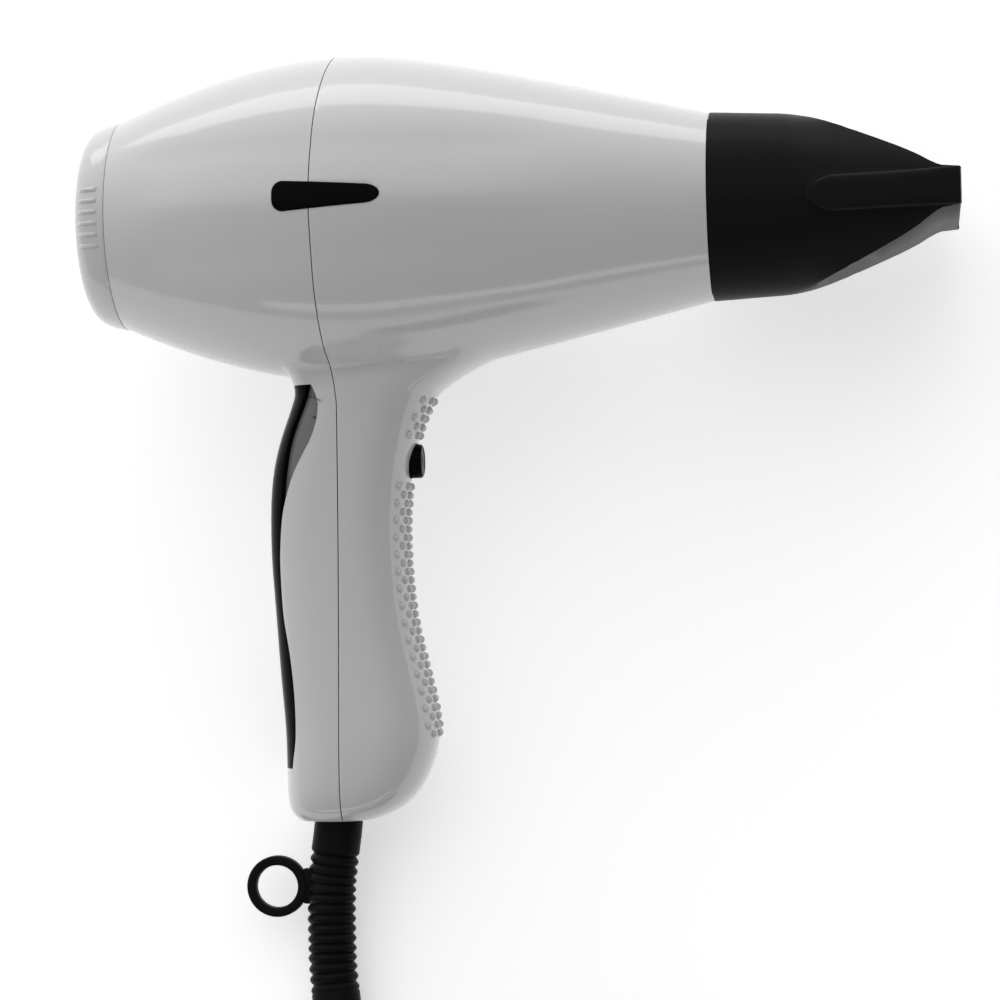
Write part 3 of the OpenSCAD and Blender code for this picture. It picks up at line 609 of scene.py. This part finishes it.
def makeBody():
    body = loftRings("housingSkin", [[cagePoint(x, k) for k in range(32)] for x in stationXs], False, False)

    def underNeck(face):
        m = face.calc_center_median() / mm
        return m.z < -30 and abs(m.y) < 18.3 and -14 < m.x < 44

    deleteFaces(body, underNeck)
    mouth = ([cagePoint(x, -2) for x in neckXs] + [cagePoint(44, k) for k in (-1, 0, 1)]
             + [cagePoint(x, 2) for x in reversed(neckXs)] + [cagePoint(-14, k) for k in (1, 0, -1)])
    mouth = single(body, [p * mm for p in mouth])
    bpy.ops.mesh.select_mode(type="VERT")
    choose("DESELECT")
    shape = bmesh.from_edit_mesh(body.data)
    for vertex in shape.verts:
        vertex.select = min((vertex.co - p).length for p in mouth) < 1e-5
    shape.select_flush(True)
    bmesh.update_edit_mesh(body.data)
    bpy.ops.mesh.select_mode(type="EDGE")
    # points of the cage as stored, in the mouth's order
    chosen = [v.co.copy() for v in shape.verts if v.select]
    stored = [min(chosen, key=lambda c: (c - p).length) for p in mouth]
    levels = [-50.5, -54, -58, -63, -69, -76, -84, -93, -102, -111, -120, -129, -137, -144, -150, -156, -162,
              -167, -171, -174.2, -176.4]
    rings = [gripRing(z) for z in levels] + [gripRing(-177, 0.93, 0.05), gripRing(-177, 0.6, 0.1)]
    growRings(body, stored, rings)
    bpy.ops.mesh.edge_face_add()

    def creaseEdges(test, value):
        choose("DESELECT")
        for edge in bmesh.from_edit_mesh(body.data).edges:
            edge.select = bool(test(edge.verts[0].co / mm, edge.verts[1].co / mm))
        bmesh.update_edit_mesh(body.data)
        bpy.ops.transform.edge_crease(value=value)

    def offSide(p):
        return abs(abs(p.y) - abs(cagePoint(p.x, 2).y))

    # under the barrel behind the handle, then softer along both sides of the neck
    creaseEdges(lambda a, b: max(abs(a.x + 14), abs(b.x + 14)) < 0.1 and max(a.z, b.z) < -40
                and max(abs(a.y), abs(b.y)) < 18.8, 0.75)
    creaseEdges(lambda a, b: max(offSide(a), offSide(b)) < 0.05 and abs(a.x - b.x) > 2
                and -14.1 < min(a.x, b.x) and max(a.x, b.x) < 39.1 and max(a.z, b.z) < -35, 0.4)
    choose()
    bpy.ops.mesh.normals_make_consistent(inside=False)
    leftEditing()
    modify(body, "SUBSURF", levels=2, render_levels=2)
    # the two ends are cut square and closed
    editing()
    for x, keep in ((-housing["rear"] - 0.15, "rear"), (housing["front"], "front")):
        choose()
        bpy.ops.mesh.bisect(plane_co=(x * mm, 0, 0), plane_no=(1, 0, 0), use_fill=True,
                            clear_inner=keep == "rear", clear_outer=keep == "front")
    leftEditing()
    # the raised line along each side, through the inlay
    for vertex in body.data.vertices:
        x, y, z = vertex.co / mm
        if z < -25 or abs(y) < 15:
            continue
        off = abs(z - housing["creaseZ"])
        along = min(1, max(0, (x + 62) / 22)) * min(1, max(0, (84 - x) / 46))
        along = along * along * (3 - 2 * along)
        share, wide = off / (14.4 - 0.02 * abs(x)), off / 27
        rise = 0
        if share < 1.1:
            rise = housing["creaseRise"] * max(0, 1 - (math.sqrt(share * share + 0.02) - 0.14))
        drop = (housing["creaseRise"] - 0.25) * (1 - wide * wide) ** 2 if wide < 1 else 0
        vertex.co += Vector((0, y, z)).normalized() * (rise - drop) * along * mm
    body.data.materials.append(finishes["shell"])
    return body


body = makeBody()
print("housing skin:", len(body.data.polygons), "faces")

surroundEdge = [(-0.01, -0.4), (0.02, -0.26), (0.06, -0.19), (0.123, -0.28), (0.198, -0.53), (0.24, -0.65),
                (0.299, -0.755), (0.36, -0.8), (0.42, -0.815), (0.531, -0.785), (0.624, -0.69),
                (0.72, -0.634), (0.813, -0.634), (0.88, -0.7)]
bezelEdge = [(-0.01, -0.3), (0.011, -0.34), (0.043, -0.42), (0.1045, -0.575), (0.152, -0.667),
             (0.187, -0.708), (0.233, -0.743), (0.292, -0.775), (0.36, -0.8)]
insert = {"top": 0.012, "end": 0.877, "steps": 40, "bezelGap": 0.1, "shellGap": 0.15, "cheekSunk": 1.4}


def greyLine(s):
    return readAlong(surroundEdge, s)[1] * housing["depth"]


def blackLine(s):
    return readAlong(bezelEdge, s)[1] * housing["depth"] if s < 0.36 else greyLine(s)


def zAt(s):
    return -housing["radius"] - s * housing["handle"]


def edgeLine(edge, gap, top, end, grow=0.0):
    v = insert
    shares = [top + i / v["steps"] * (end - top) for i in range(v["steps"] + 1)]
    line = [(edge(s) + gap, zAt(s)) for s in shares]
    line[0] = (line[0][0], line[0][1] + grow)
    line[-1] = (line[-1][0], line[-1][1] - grow)
    return line


def behindPrism(name, edge, gap, grow):
    line = edgeLine(edge, gap, insert["top"], insert["end"], grow)
    return prism(name, line + [(-60, line[-1][1]), (-60, line[0][1])])


inlaySizes = {"x": -10.5, "z": 2.2, "length": 30.6, "corner": 3, "straight": 1.2, "tipLong": 4.6, "tip": 2.6}


def badgeOutline(grow):
    v = inlaySizes
    corner, straight, middle = v["corner"], v["straight"], v["length"] - v["tipLong"]
    points = []
    # two rounded corners at the back, then half an ellipse at the tip
    for angles, lift in ((range(90, 181, 10), straight), (range(180, 271, 10), -straight)):
        points += [(corner + (corner + grow) * c, lift + (corner + grow) * s) for c, s in map(turnOf, angles)]
    points += [(middle + (v["tipLong"] + grow) * c, (v["tip"] + grow) * s)
               for c, s in map(turnOf, range(-80, 81, 10))]
    return [(v["x"] + x, v["z"] + z) for x, z in points]


def rod(name, start, end, radius, sides=64):
    # a closed cutter between two points
    start, end = Vector(start) * mm, Vector(end) * mm
    bpy.ops.mesh.primitive_cylinder_add(vertices=sides, radius=radius * mm, depth=(end - start).length,
                                        location=(start + end) / 2,
                                        rotation=(end - start).to_track_quat("Z", "Y").to_euler())
    bpy.context.object.name = name
    applied()
    bpy.context.object.data.materials.append(cutMark)
    return bpy.context.object


def skinWithin(name, cutter):
    # the part of the housing's skin that lies inside the cutter
    return dropMarked(carve(copyOf(body, name), cutter, "INTERSECT"))


bezelSkin = skinWithin("bezelSkin", behindPrism("bezelCut", blackLine, -insert["bezelGap"], 0))
cheekEnd = max(k / 1000 for k in range(20, 350) if greyLine(k / 1000) - blackLine(k / 1000) > 0.4)
cheekOutline = (edgeLine(greyLine, -0.1, insert["top"], cheekEnd)
                + list(reversed(edgeLine(blackLine, 0.02, insert["top"], cheekEnd))))
cheekSkin = skinWithin("cheekSkin", prism("cheekCut", cheekOutline))
badgeSkin = skinWithin("badgeSkin", prism("badgeCut", badgeOutline(0)))
print("insert, cheeks and inlays cut")

carve(body, behindPrism("insertCut", greyLine, insert["shellGap"], 0.15))
carve(body, prism("badgePocket", badgeOutline(0.18)))
carve(body, rod("guardHole", (housing["guardX"], 0, -170), (housing["guardX"], 0, -185), 7.3))
carve(body, rod("buttonHole", (12, 0, housing["buttonZ"]), (40, 0, housing["buttonZ"]), 5.3))
seamHeights = [60 - i * 5 for i in range(50)]
carve(body, prism("seamCut", [(seamAt(z) - housing["seam"] / 2, z) for z in seamHeights]
                  + [(seamAt(z) + housing["seam"] / 2, z) for z in reversed(seamHeights)]))
dropMarked(body)


def atEnd(face):
    x = face.calc_center_median().x / mm
    offEnd = min(abs(x - housing["front"]), abs(x + housing["rear"] + 0.15))
    return abs(face.normal.x) > 0.99 and offEnd < 0.05


deleteFaces(body, atEnd)
leftEditing()
nubGround = copyOf(body, "nubGround")  # kept for setting the nubs on
halves = islands(body)
frontHalf = joined([p for p in halves if spanOf(p, 0)[1] > 40], "frontHousing")
rearHalf = joined([p for p in islands(joined([p for p in halves if p.name in bpy.data.objects
                                              and p != frontHalf], "rest")) if spanOf(p, 0)[0] < -20],
                  "rearHousing")
for half, node in ((frontHalf, "front_shell"), (rearHalf, "rear_shell")):
    wallInward(half, housing["wall"], 0.22 if node == "front_shell" else 0.0)
    finished(half, "shell", "housing", node)
print("housing halves walled")

# back insert, cheeks and inlays
insetSizes = {"bezelDeep": 3.2, "cheekDeep": 1.9, "inlayProud": 0.35, "inlayDeep": 1.4,
              "openingHalfWidth": 6.4, "openingHalfLength": 9.5}
rockerSizes = {"x": -14.19, "speedZ": -82.83, "heatZ": -102.03, "length": 17.0, "width": 11.8}


def block(name, low, high):
    centre = [(a + b) / 2 * mm for a, b in zip(low, high)]
    bpy.ops.mesh.primitive_cube_add(size=1, location=centre)
    piece = bpy.context.object
    piece.scale = [(b - a) * mm for a, b in zip(low, high)]
    piece.name = name
    applied()
    return piece


wallInward(bezelSkin, insetSizes["bezelDeep"])
for z in (rockerSizes["speedZ"], rockerSizes["heatZ"]):
    w, l = insetSizes["openingHalfWidth"], insetSizes["openingHalfLength"]
    opening = block("rockerOpening", (-40, -w, z - l), (-8, w, z + l))
    modify(opening, "BEVEL", width=0.8 * mm, segments=3, limit_method="ANGLE")
    opening.data.materials.append(cutMark)
    carve(bezelSkin, opening)
modify(bezelSkin, "BEVEL", width=0.3 * mm, segments=2, limit_method="ANGLE", angle_limit=math.radians(55))
finished(bezelSkin, "black_gloss", "housing", "switch_bezel", name="rockerBezel")

for vertex, normal in [(v, v.normal.copy()) for v in cheekSkin.data.vertices]:
    vertex.co -= normal * insert["cheekSunk"] * mm
wallInward(cheekSkin, insetSizes["cheekDeep"])
finished(cheekSkin, "mid_grey", "housing", "switch_surround", name="greyCheeks")

for inlay in islands(badgeSkin):
    side = "left" if spanOf(inlay, 1)[0] < 0 else "right"
    for vertex, normal in [(v, v.normal.copy()) for v in inlay.data.vertices]:
        vertex.co += normal * insetSizes["inlayProud"] * mm
    wallInward(inlay, insetSizes["inlayDeep"], 0.45, 3)
    finished(inlay, "black_gloss", "housing", "badge_" + side, name=side + "Inlay")
print("insert and inlays done")

# rocker keys and the cool-shot button


def makeRocker(name, z, body, node):
    v = rockerSizes
    half = v["length"] / 2 - 0.2
    outline = [(-5.2, -half), (-4.75, -half * 0.66), (-4.2, -half * 0.33), (-4, 0), (-4.2, half * 0.33),
               (-4.75, half * 0.66), (-5.2, half), (-1.5, half), (2, 2.6), (2, -2.6), (-1.5, -half)]
    key = prism(name, [(v["x"] + x, z + dz) for x, dz in outline], v["width"] / 2)
    key.data.materials.clear()
    modify(key, "BEVEL", width=0.7 * mm, segments=3, limit_method="ANGLE", angle_limit=math.radians(40))
    # a shallow dash at one end and a ring at the other, for on and off
    dash = block("dash", (v["x"] - 5.15, -1.6, z + half * 0.56), (v["x"] - 4.3, 1.6, z + half * 0.56 + 0.7))
    modify(dash, "BEVEL", width=0.2 * mm, segments=2, limit_method="ANGLE")
    bpy.ops.mesh.primitive_torus_add(major_radius=1.3 * mm, minor_radius=0.3 * mm, major_segments=32,
                                     minor_segments=10, location=(0, 0, 0), rotation=(0, math.pi / 2, 0))
    ring = bpy.context.object
    applied()
    ring.data.transform(Matrix.Translation(Vector((v["x"] - 4.68, 0, z - half * 0.6)) * mm))
    finished(joined([key, dash, ring], name), "black_gloss", body, node)


makeRocker("speedKey", rockerSizes["speedZ"], "speed_key", "speed_rocker")
makeRocker("heatKey", rockerSizes["heatZ"], "heat_key", "heat_rocker")

buttonLine = [(12.5, 0), (12.5, 1.8), (16.7, 1.8), (16.7, 6.1), (17.7, 6.1), (17.75, 5.0), (23.4, 5.0),
              (23.8, 4.93), (24.15, 4.7), (24.35, 4.35), (24.4, 3.95), (24.25, 3.6), (24.2, 3.2), (24.3, 2.4),
              (24.42, 1.4), (24.48, 0.6), (24.5, 0)]
button = lathe("coolButton", buttonLine, 64, centre=(0, 0, housing["buttonZ"]))
finished(button, "black_gloss", "cool_key", "cool_button")
print("keys and button done")

# rear cap
capLine = [(-63.3, 31.0), (-64.6, 30.75), (-66.2, 30.4), (-67.7, 29.98), (-69.2, 29.4), (-70.2, 28.85),
           (-71.1, 28.1), (-71.9, 27.25), (-72.6, 26.1), (-73.1, 24.8), (-73.45, 23.2), (-73.6, 21.4),
           (-73.7, 19.2), (-73.8, 17), (-73.86, 15.4), (-73.9, 13.2), (-73.93, 11), (-73.95, 9.4),
           (-73.97, 7.2), (-74, 5), (-74, 2.5), (-74, 0)]
# each ring of slots: inner and outer radius, steps of 5 degrees from slot to slot, and how many a slot takes
capSlots = {"rings": ((5, 9.4, 8, 3), (11, 15.4, 4, 2), (17, 21.4, 3, 1)), "ribs": 3.25,
            "ribStart": -65.2, "ribLength": 6.6, "ribWide": 1.25, "ribProud": 0.75}


def makeCap():
    v = capSlots
    cap = lathe("intakeCap", capLine, 72)

    def inSlot(face):
        m = face.calc_center_median() / mm
        r = math.hypot(m.y, m.z)
        step = int((math.degrees(math.atan2(m.z, m.y)) % 360) / 5)
        return m.x < -73 and any(low < r < high and step % every < wide
                                 for low, high, every, wide in v["rings"])

    deleteFaces(cap, inSlot)
    leftEditing()
    wallInward(cap, 2.0, 0.2, 2, 45)
    # ribs that follow the cap's side
    ribs = []
    for side in (-1, 1):
        for step in (-2.5, -1.5, -0.5, 0.5, 1.5, 2.5):
            z = step * v["ribs"]
            rings = []
            for k in range(9):
                x = v["ribStart"] - k / 8 * v["ribLength"]
                r = next(a[1] + (b[1] - a[1]) * (x - a[0]) / (b[0] - a[0])
                         for a, b in zip(capLine, capLine[1:]) if b[0] <= x <= a[0])
                lift = v["ribProud"] * math.sqrt(max(0, 1 - ((k - 4) / 4) ** 4)) - 0.15
                y = side * math.sqrt(r * r - z * z)
                rings.append([(x, y + side * (lift * c if c > 0 else 0.5 * c),
                               z + v["ribWide"] / 2 * math.copysign(abs(s) ** 0.8, s))
                              for c, s in map(turnOf, range(0, 360, 30))])
            ribs.append(loftRings("capRib", rings))
    spigotLine = [(-64.9, 28.3), (-57.2, 28.3), (-57.2, 26.5), (-64.9, 26.5), (-64.9, 28.3)]
    spigot = lathe("capSpigot", spigotLine, 72)
    return joined([cap, spigot] + ribs, "intakeCap")


finished(makeCap(), "shell", "cap_body", "rear_cap")
print("rear cap done")

# nozzle
nozzleShape = {"start": 111.3, "ridge": 139.0, "ridgeNose": 7.0, "ridgeRound": 0.42, "nose": 182.5,
               "mouthHigh": 5.3, "wall": 1.6, "edgeSteps": 8, "sideSteps": 12, "flatSteps": 9}
# along the nozzle: half height, half width, half width of the flat above and below, and of the side ridge
nozzleStations = [(111.3, 27.5, 27.5, 0.0, 27.5), (122.0, 26.95, 26.95, 0.0, 27.0),
                  (131.0, 26.5, 26.5, 0.0, 26.6), (135.0, 26.1, 26.3, 0.2, 27.2),
                  (139.0, 25.0, 26.1, 4.5, 27.8), (143.0, 23.4, 26.1, 9.5, 28.6),
                  (147.0, 21.6, 26.3, 13.2, 29.4), (151.5, 19.5, 26.8, 16.3, 30.3),
                  (159.5, 15.9, 28.4, 21.0, 32.2), (165.0, 13.2, 29.9, 24.5, 33.6),
                  (171.0, 9.9, 32.0, 28.6, 34.9), (176.5, 6.4, 35.0, 33.5, 36.5),
                  (179.5, 5.7, 36.2, 35.3, 37.1), (182.5, 5.3, 37.2, 36.6, 38.0)]


def nozzleRing(x):
    v = nozzleShape
    high, wide, flat, ridge = readAlong(nozzleStations, x)[1:]
    # the side goes from a round arc on the skirt to a steeper one that leaves an edge along the flat
    power = 1 + min(1, max(0, (x - 134) / 14))
    reach = min(1, max(0, (x - v["ridge"]) / v["ridgeNose"]))
    thick = min(v["mouthHigh"] * max(0.02, reach ** v["ridgeRound"]), high * 0.985)

    def sideAt(z):
        return flat + (wide - flat) * max(0, 1 - (z / high) ** 2) ** (power / 2)

    quarter = []
    foot = sideAt(thick)
    for i in range(v["edgeSteps"]):
        turn = math.pi / 2 * i / v["edgeSteps"]
        z = thick * math.sin(turn) ** 0.45
        bead = foot + max(0.0, ridge - foot) * math.cos(turn) ** 0.45
        quarter.append((sideAt(z) + (bead - sideAt(z)) * min(1, reach * 2.2) if reach else sideAt(z), z))
    low = math.asin(thick / high)
    for i in range(v["sideSteps"]):
        z = high * math.sin(low + (math.pi / 2 - low) * i / v["sideSteps"])
        quarter.append((sideAt(z), z))
    quarter += [(flat * (1 - i / v["flatSteps"]), high) for i in range(v["flatSteps"] + 1)]
    ring = quarter + [(-y, z) for y, z in reversed(quarter[:-1])]
    ring += [(-y, -z) for y, z in quarter[1:]] + [(y, -z) for y, z in reversed(quarter[1:-1])]
    return [(x, y, z) for y, z in ring]


def makeNozzle():
    v = nozzleShape
    # closest together where the ridge begins
    xs = [v["start"], v["start"] + 0.8, 116, 122, 128, 131, 133, 135, 137, 138.4, 139.0, 139.2, 139.5, 139.9,
          140.4, 141, 141.7, 142.5, 143.5, 144.7, 146.2, 147.5, 149.5, 151.5, 153.5, 156, 159, 162, 165, 168,
          171, 174, 176, 177.5, 179, 180.5, 181.7, v["nose"]]
    shell = loftRings("airNozzle", [nozzleRing(x) for x in xs], False, False)
    wallInward(shell, v["wall"], 0.3, 2, 55)
    return shell


finished(makeNozzle(), "black_satin", "nozzle_body", "nozzle", angle=28)
print("nozzle done")

# grip nubs
nubSizes = {"pitch": 5.0, "diameter": 2.4, "column": 3.1, "clear": 7.2}


def makeNubs():
    v = nubSizes
    bpy.ops.mesh.primitive_uv_sphere_add(segments=10, ring_count=8, radius=v["diameter"] / 2 * mm)
    nub = started("nub")
    choose()
    bpy.ops.mesh.bisect(plane_co=(0, 0, -0.0003), plane_no=(0, 0, 1), clear_inner=True, use_fill=True)
    leftEditing()
    copies = []
    row = v["pitch"] / 2
    for i in range(int(housing["handle"] * 0.87 / row) + 1):
        share = 0.05 + i * row / housing["handle"]
        z = zAt(share)
        if share >= 0.82 or abs(z - housing["buttonZ"]) <= v["clear"]:
            continue
        for k in ((-3, -1, 1, 3) if i % 2 == 0 else (-2, 0, 2)):
            start = Vector((80, k * v["column"], z)) * mm
            hit, spot, normal, face = nubGround.ray_cast(start, Vector((-1, 0, 0)))
            if not hit:
                continue
            copy = nub.copy()
            copy.data = nub.data.copy()
            upright = normal.to_track_quat("Z", "Y").to_matrix().to_4x4()
            copy.data.transform(Matrix.Translation(spot) @ upright)
            bpy.context.collection.objects.link(copy)
            copies.append(copy)
    bpy.data.objects.remove(nub)
    return joined(copies, "gripNubs")


finished(makeNubs(), "shell", "housing", "grip_nubs", angle=60)
bpy.data.objects.remove(nubGround)
print("nubs set")

# cord guard
guardSizes = {"crest": 7.15, "valley": 6.25, "pitch": 2.87, "first": 9.0, "last": 50.0, "bore": 4.15,
              "loopHole": 6.2, "loopOuter": 9.0, "loopThick": 4.0}


def guardRadius(d):
    v = guardSizes
    if d < v["first"] or d > v["last"]:
        return v["crest"] - 0.05 - (0.9 * max(0, d - 58) / 4 if d > 58 else 0)
    wave = 0.5 + 0.5 * math.cos((d - v["first"]) / v["pitch"] * 2 * math.pi)
    return v["valley"] + (v["crest"] - v["valley"]) * wave ** 0.55


def guardRings(radius, ds):
    spots = [Vector(readAlong(guardLine, d)[1:]) for d in ds]
    rings = []
    for i, spot in enumerate(spots):
        ahead = (spots[min(i + 1, len(spots) - 1)] - spots[max(i - 1, 0)]).normalized()
        across = ahead.cross(Vector((0, 0, 1))).normalized()
        over = across.cross(ahead)
        rings.append([spot + radius(ds[i]) * (across * math.cos(a) + over * math.sin(a))
                      for a in [2 * math.pi * k / 40 for k in range(40)]])
    return rings


def makeGuard():
    v = guardSizes
    outside = [0.0, 2, 4, 6.5, 8.6] + [9 + i * v["pitch"] / 8 for i in range(int(41 / v["pitch"] * 8) + 1)]
    outside += [50.6, 53, 56, 58, 59.5, 60.8, 61.6]
    tube = loftRings("cordGuard", guardRings(guardRadius, outside) + guardRings(
        lambda d: 5.6, [62.0]) + guardRings(lambda d: v["bore"], [62.0, 60.0]), False, False)
    top = Vector(guardLine[0][1:])
    handleWay = (Vector(guardLine[1][1:]) - top).normalized()
    stub = rod("guardStub", top - handleWay * 4, top + handleWay * 0.4, 7.0, 40)
    stub.data.materials.clear()
    centre = Vector((-21.48, -0.35, -196.4))
    half, r0, r1 = v["loopThick"] / 2, v["loopHole"], v["loopOuter"]
    loopLine = [(-half, r0 + 0.7), (-half + 0.2, r0 + 0.2), (-half + 0.7, r0), (half - 0.7, r0),
                (half - 0.2, r0 + 0.2), (half, r0 + 0.7), (half, r1 - 0.7), (half - 0.2, r1 - 0.2),
                (half - 0.7, r1), (-half + 0.7, r1), (-half + 0.2, r1 - 0.2), (-half, r1 - 0.7),
                (-half, r0 + 0.7)]
    loop = lathe("hangingLoop", loopLine, 72, axis="z")
    loop.data.transform(toTable @ Matrix.Translation(centre * mm) @ Matrix.Rotation(math.pi / 2, 4, "X"))
    tab = block("loopTab", (centre.x + r0 + 1.4, centre.y - half + 0.3, centre.z - 5.2),
                (centre.x + r1 + 4.5, centre.y + half - 0.3, centre.z + 5.2))
    modify(tab, "BEVEL", width=0.8 * mm, segments=3, limit_method="ANGLE")
    tab.data.transform(toTable)
    return joined([tube, stub, loop, tab], "cordGuard")


finished(makeGuard(), "rubber", "housing", "cord_guard", laid=False, angle=40)
print("guard done")

# plug, its pins and the cord's tie
plugSizes = {"at": (51.45, -312.77, 13.0), "pinSpread": 9.5, "pinRadius": 2.35, "ribs": 5, "ribProud": 0.55}


def makePlug():
    v = plugSizes
    place = Matrix.Translation(Vector(v["at"]) * mm)
    # sections along x: half width of the straight middle, radius of the ends
    sections = [(0, 0, 5.2), (0.4, 0, 6.2), (1.2, 0, 6.9), (4, 0.4, 7.7), (8, 1.6, 8.9), (11.5, 3.4, 10.6),
                (13, 4.4, 11.9), (14.2, 4.9, 12.6), (15.5, 5, 12.85), (19, 5, 12.55), (25, 5, 12.3),
                (31, 5, 12.6), (34.4, 5, 12.85), (35.4, 5, 12.7), (35.85, 5, 12.3), (36, 5, 11.7)]

    def section(x, flat, r, count):
        around = [2 * math.pi * n / count for n in range(count)]
        return [(x, r * math.cos(a) + math.copysign(flat, math.cos(a)), r * math.sin(a)) for a in around]

    body = loftRings("mainsPlug", [section(x, flat, r, 64) for x, flat, r in sections])
    ribs = []
    for i in range(v["ribs"]):
        x = 2.2 + i * 2.2
        flat, r = (0.2 + 0.5 * i, 7.35 + 0.62 * i)
        ribs.append(loftRings("plugRib", [
            section(x - 0.7 + k * 0.233, flat, r - 0.2 + v["ribProud"] * math.sin(math.pi * k / 6), 40)
            for k in range(7)]))
    plug = joined([body] + ribs, "mainsPlug")
    plug.data.transform(place)
    pins = []
    r = v["pinRadius"]
    line = [(30.1, 0), (30.1, r), (52.4, r), (53.3, r - 0.15), (54.1, r - 0.55), (54.6, r - 1.15),
            (54.8, r - 1.85), (54.8, 0)]
    for side in (-1, 1):
        pins.append(lathe("plugPin", line, 40, centre=(0, side * v["pinSpread"], 0)))
        pins[-1].data.transform(place)
    return plug, joined(pins, "plugPins")


plugPiece, pinPiece = makePlug()
finished(plugPiece, "rubber", "housing", "plug_body", laid=False)
finished(pinPiece, "nickel", "housing", "plug_pins", laid=False)

tieSizes = {"angle": 20, "inner": 27.6, "outer": 68.3, "low": 0.1, "high": 17.6, "width": 11.0, "thick": 0.7,
            "round": 3.2}


def makeTie():
    v = tieSizes
    high, r = v["high"], v["round"]
    inX, outX, lowZ, highZ = v["inner"] + r, v["outer"] - r, v["low"] + r, high - r
    path = []
    for cx, cz, start in ((inX, lowZ, 180), (outX, lowZ, 270), (outX, highZ, 0), (inX, highZ, 90)):
        path += [(cx + r * c, cz + r * s) for c, s in map(turnOf, range(start, start + 91, 15))]
    rings = [[(x, -v["width"] / 2 + v["width"] * k / 4, z) for x, z in path] for k in range(5)]
    strap = loftRings("cordTie", rings, False, False)
    wallInward(strap, v["thick"], 0.15)
    buckle = block("tieStud", (43, -3.5, high - 0.4), (50, 3.5, high + 0.55))
    modify(buckle, "BEVEL", width=0.4 * mm, segments=3, limit_method="ANGLE")
    tie = joined([strap, buckle], "cordTie")
    cx, cy = cordSizes["coilCentre"]
    turn = Matrix.Rotation(math.radians(v["angle"]), 4, "Z")
    tie.data.transform(Matrix.Translation(Vector((cx, cy, 0)) * mm) @ turn)
    return tie


tiePiece = finished(makeTie(), "black_satin", "housing", "cord_tie", laid=False)
print("plug and tie done")

# the pieces inside keep their shapes and get their finishes
slotOf = {part["node"]: part["material_slot"] for part in frame["record"]["subparts"]}
replaced = {"front_shell", "rear_shell", "switch_bezel", "switch_surround", "badge_left", "badge_right",
            "speed_rocker", "heat_rocker", "cool_button", "rear_cap", "nozzle", "grip_nubs", "cord_guard",
            "plug_body", "plug_pins", "cord_tie", "cord_run", "cord_coil", "cord_tail"}
for node, part in frame["nodes"].items():
    if node in replaced:
        continue
    for number in range(max(1, len(part.material_slots))):
        if not part.material_slots:
            part.data.materials.append(finishes[slotOf[node]])
        part.material_slots[number].material = finishes[slotOf[node]]
print("inner pieces finished")

# floor and light
studio = {"floor": 6.0, "floorLevel": 0.9, "floorGlow": 0.42, "bright": 1.22, "dim": 0.3, "side": 0.3,
          "farPower": 4.5, "farSize": (2.0, 0.42), "farPlace": (0.0, 1.15, 0.24),
          "nearPower": 1.1, "nearSize": (1.8, 0.16), "nearPlace": (0.1, -1.3, 0.3), "target": (0, 0.05, 0.1)}


def makeFloor():
    v = studio
    bpy.ops.mesh.primitive_plane_add(size=v["floor"], location=(0, 0, -0.0006))
    floor = started("paleFloor")
    bpy.ops.mesh.subdivide(number_cuts=4)
    leftEditing()
    applied()
    f = Finish("paleFloor")
    cloud = f.noise(3, 2)
    f.give(Base_Color=f.blend(cloud, grey(v["floorLevel"] - 0.01), grey(v["floorLevel"] + 0.01)),
           Roughness=0.8, Emission_Color=(1, 1, 1, 1), Emission_Strength=v["floorGlow"])
    floor.data.materials.append(f.material)


def makeLight(name, key):
    v = studio
    place = v[key + "Place"]
    bpy.ops.object.light_add(type="AREA", location=place)
    light = bpy.context.object
    light.name = name
    light.data.shape = "RECTANGLE"
    light.data.size, light.data.size_y = v[key + "Size"]
    light.data.energy = v[key + "Power"]
    light.rotation_euler = (Vector(v["target"]) - Vector(place)).to_track_quat("-Z", "Y").to_euler()


def makeRoom():
    # a white room, brightest beyond the barrel, dimmer behind the cord and on the nozzle's side
    v = studio
    world = bpy.data.worlds.new("paleRoom")
    world.use_nodes = True
    tree = world.node_tree
    back = tree.nodes["Background"]
    ways = tree.nodes.new("ShaderNodeTexCoord")
    parts = tree.nodes.new("ShaderNodeSeparateXYZ")
    both = tree.nodes.new("ShaderNodeMath")
    both.operation = "MULTIPLY"
    tree.links.new(ways.outputs["Generated"], parts.inputs[0])
    spans = (("Y", -0.9, 0.8, v["dim"], v["bright"]), ("X", 0.0, 0.9, 1.0, v["side"]))
    for entry, (axis, *span) in zip(both.inputs, spans):
        fade = tree.nodes.new("ShaderNodeMapRange")
        fade.interpolation_type = "SMOOTHSTEP"
        for key, value in zip(("From Min", "From Max", "To Min", "To Max"), span):
            fade.inputs[key].default_value = value
        tree.links.new(parts.outputs[axis], fade.inputs["Value"])
        tree.links.new(fade.outputs[0], entry)
    tree.links.new(both.outputs[0], back.inputs["Strength"])
    back.inputs["Color"].default_value = (1, 1, 1, 1)
    bpy.context.scene.world = world


makeFloor()
makeRoom()
makeLight("farSoftbox", "far")
makeLight("nearStrip", "near")
bpy.context.scene.view_settings.view_transform = "Standard"
print("floor and lights placed")
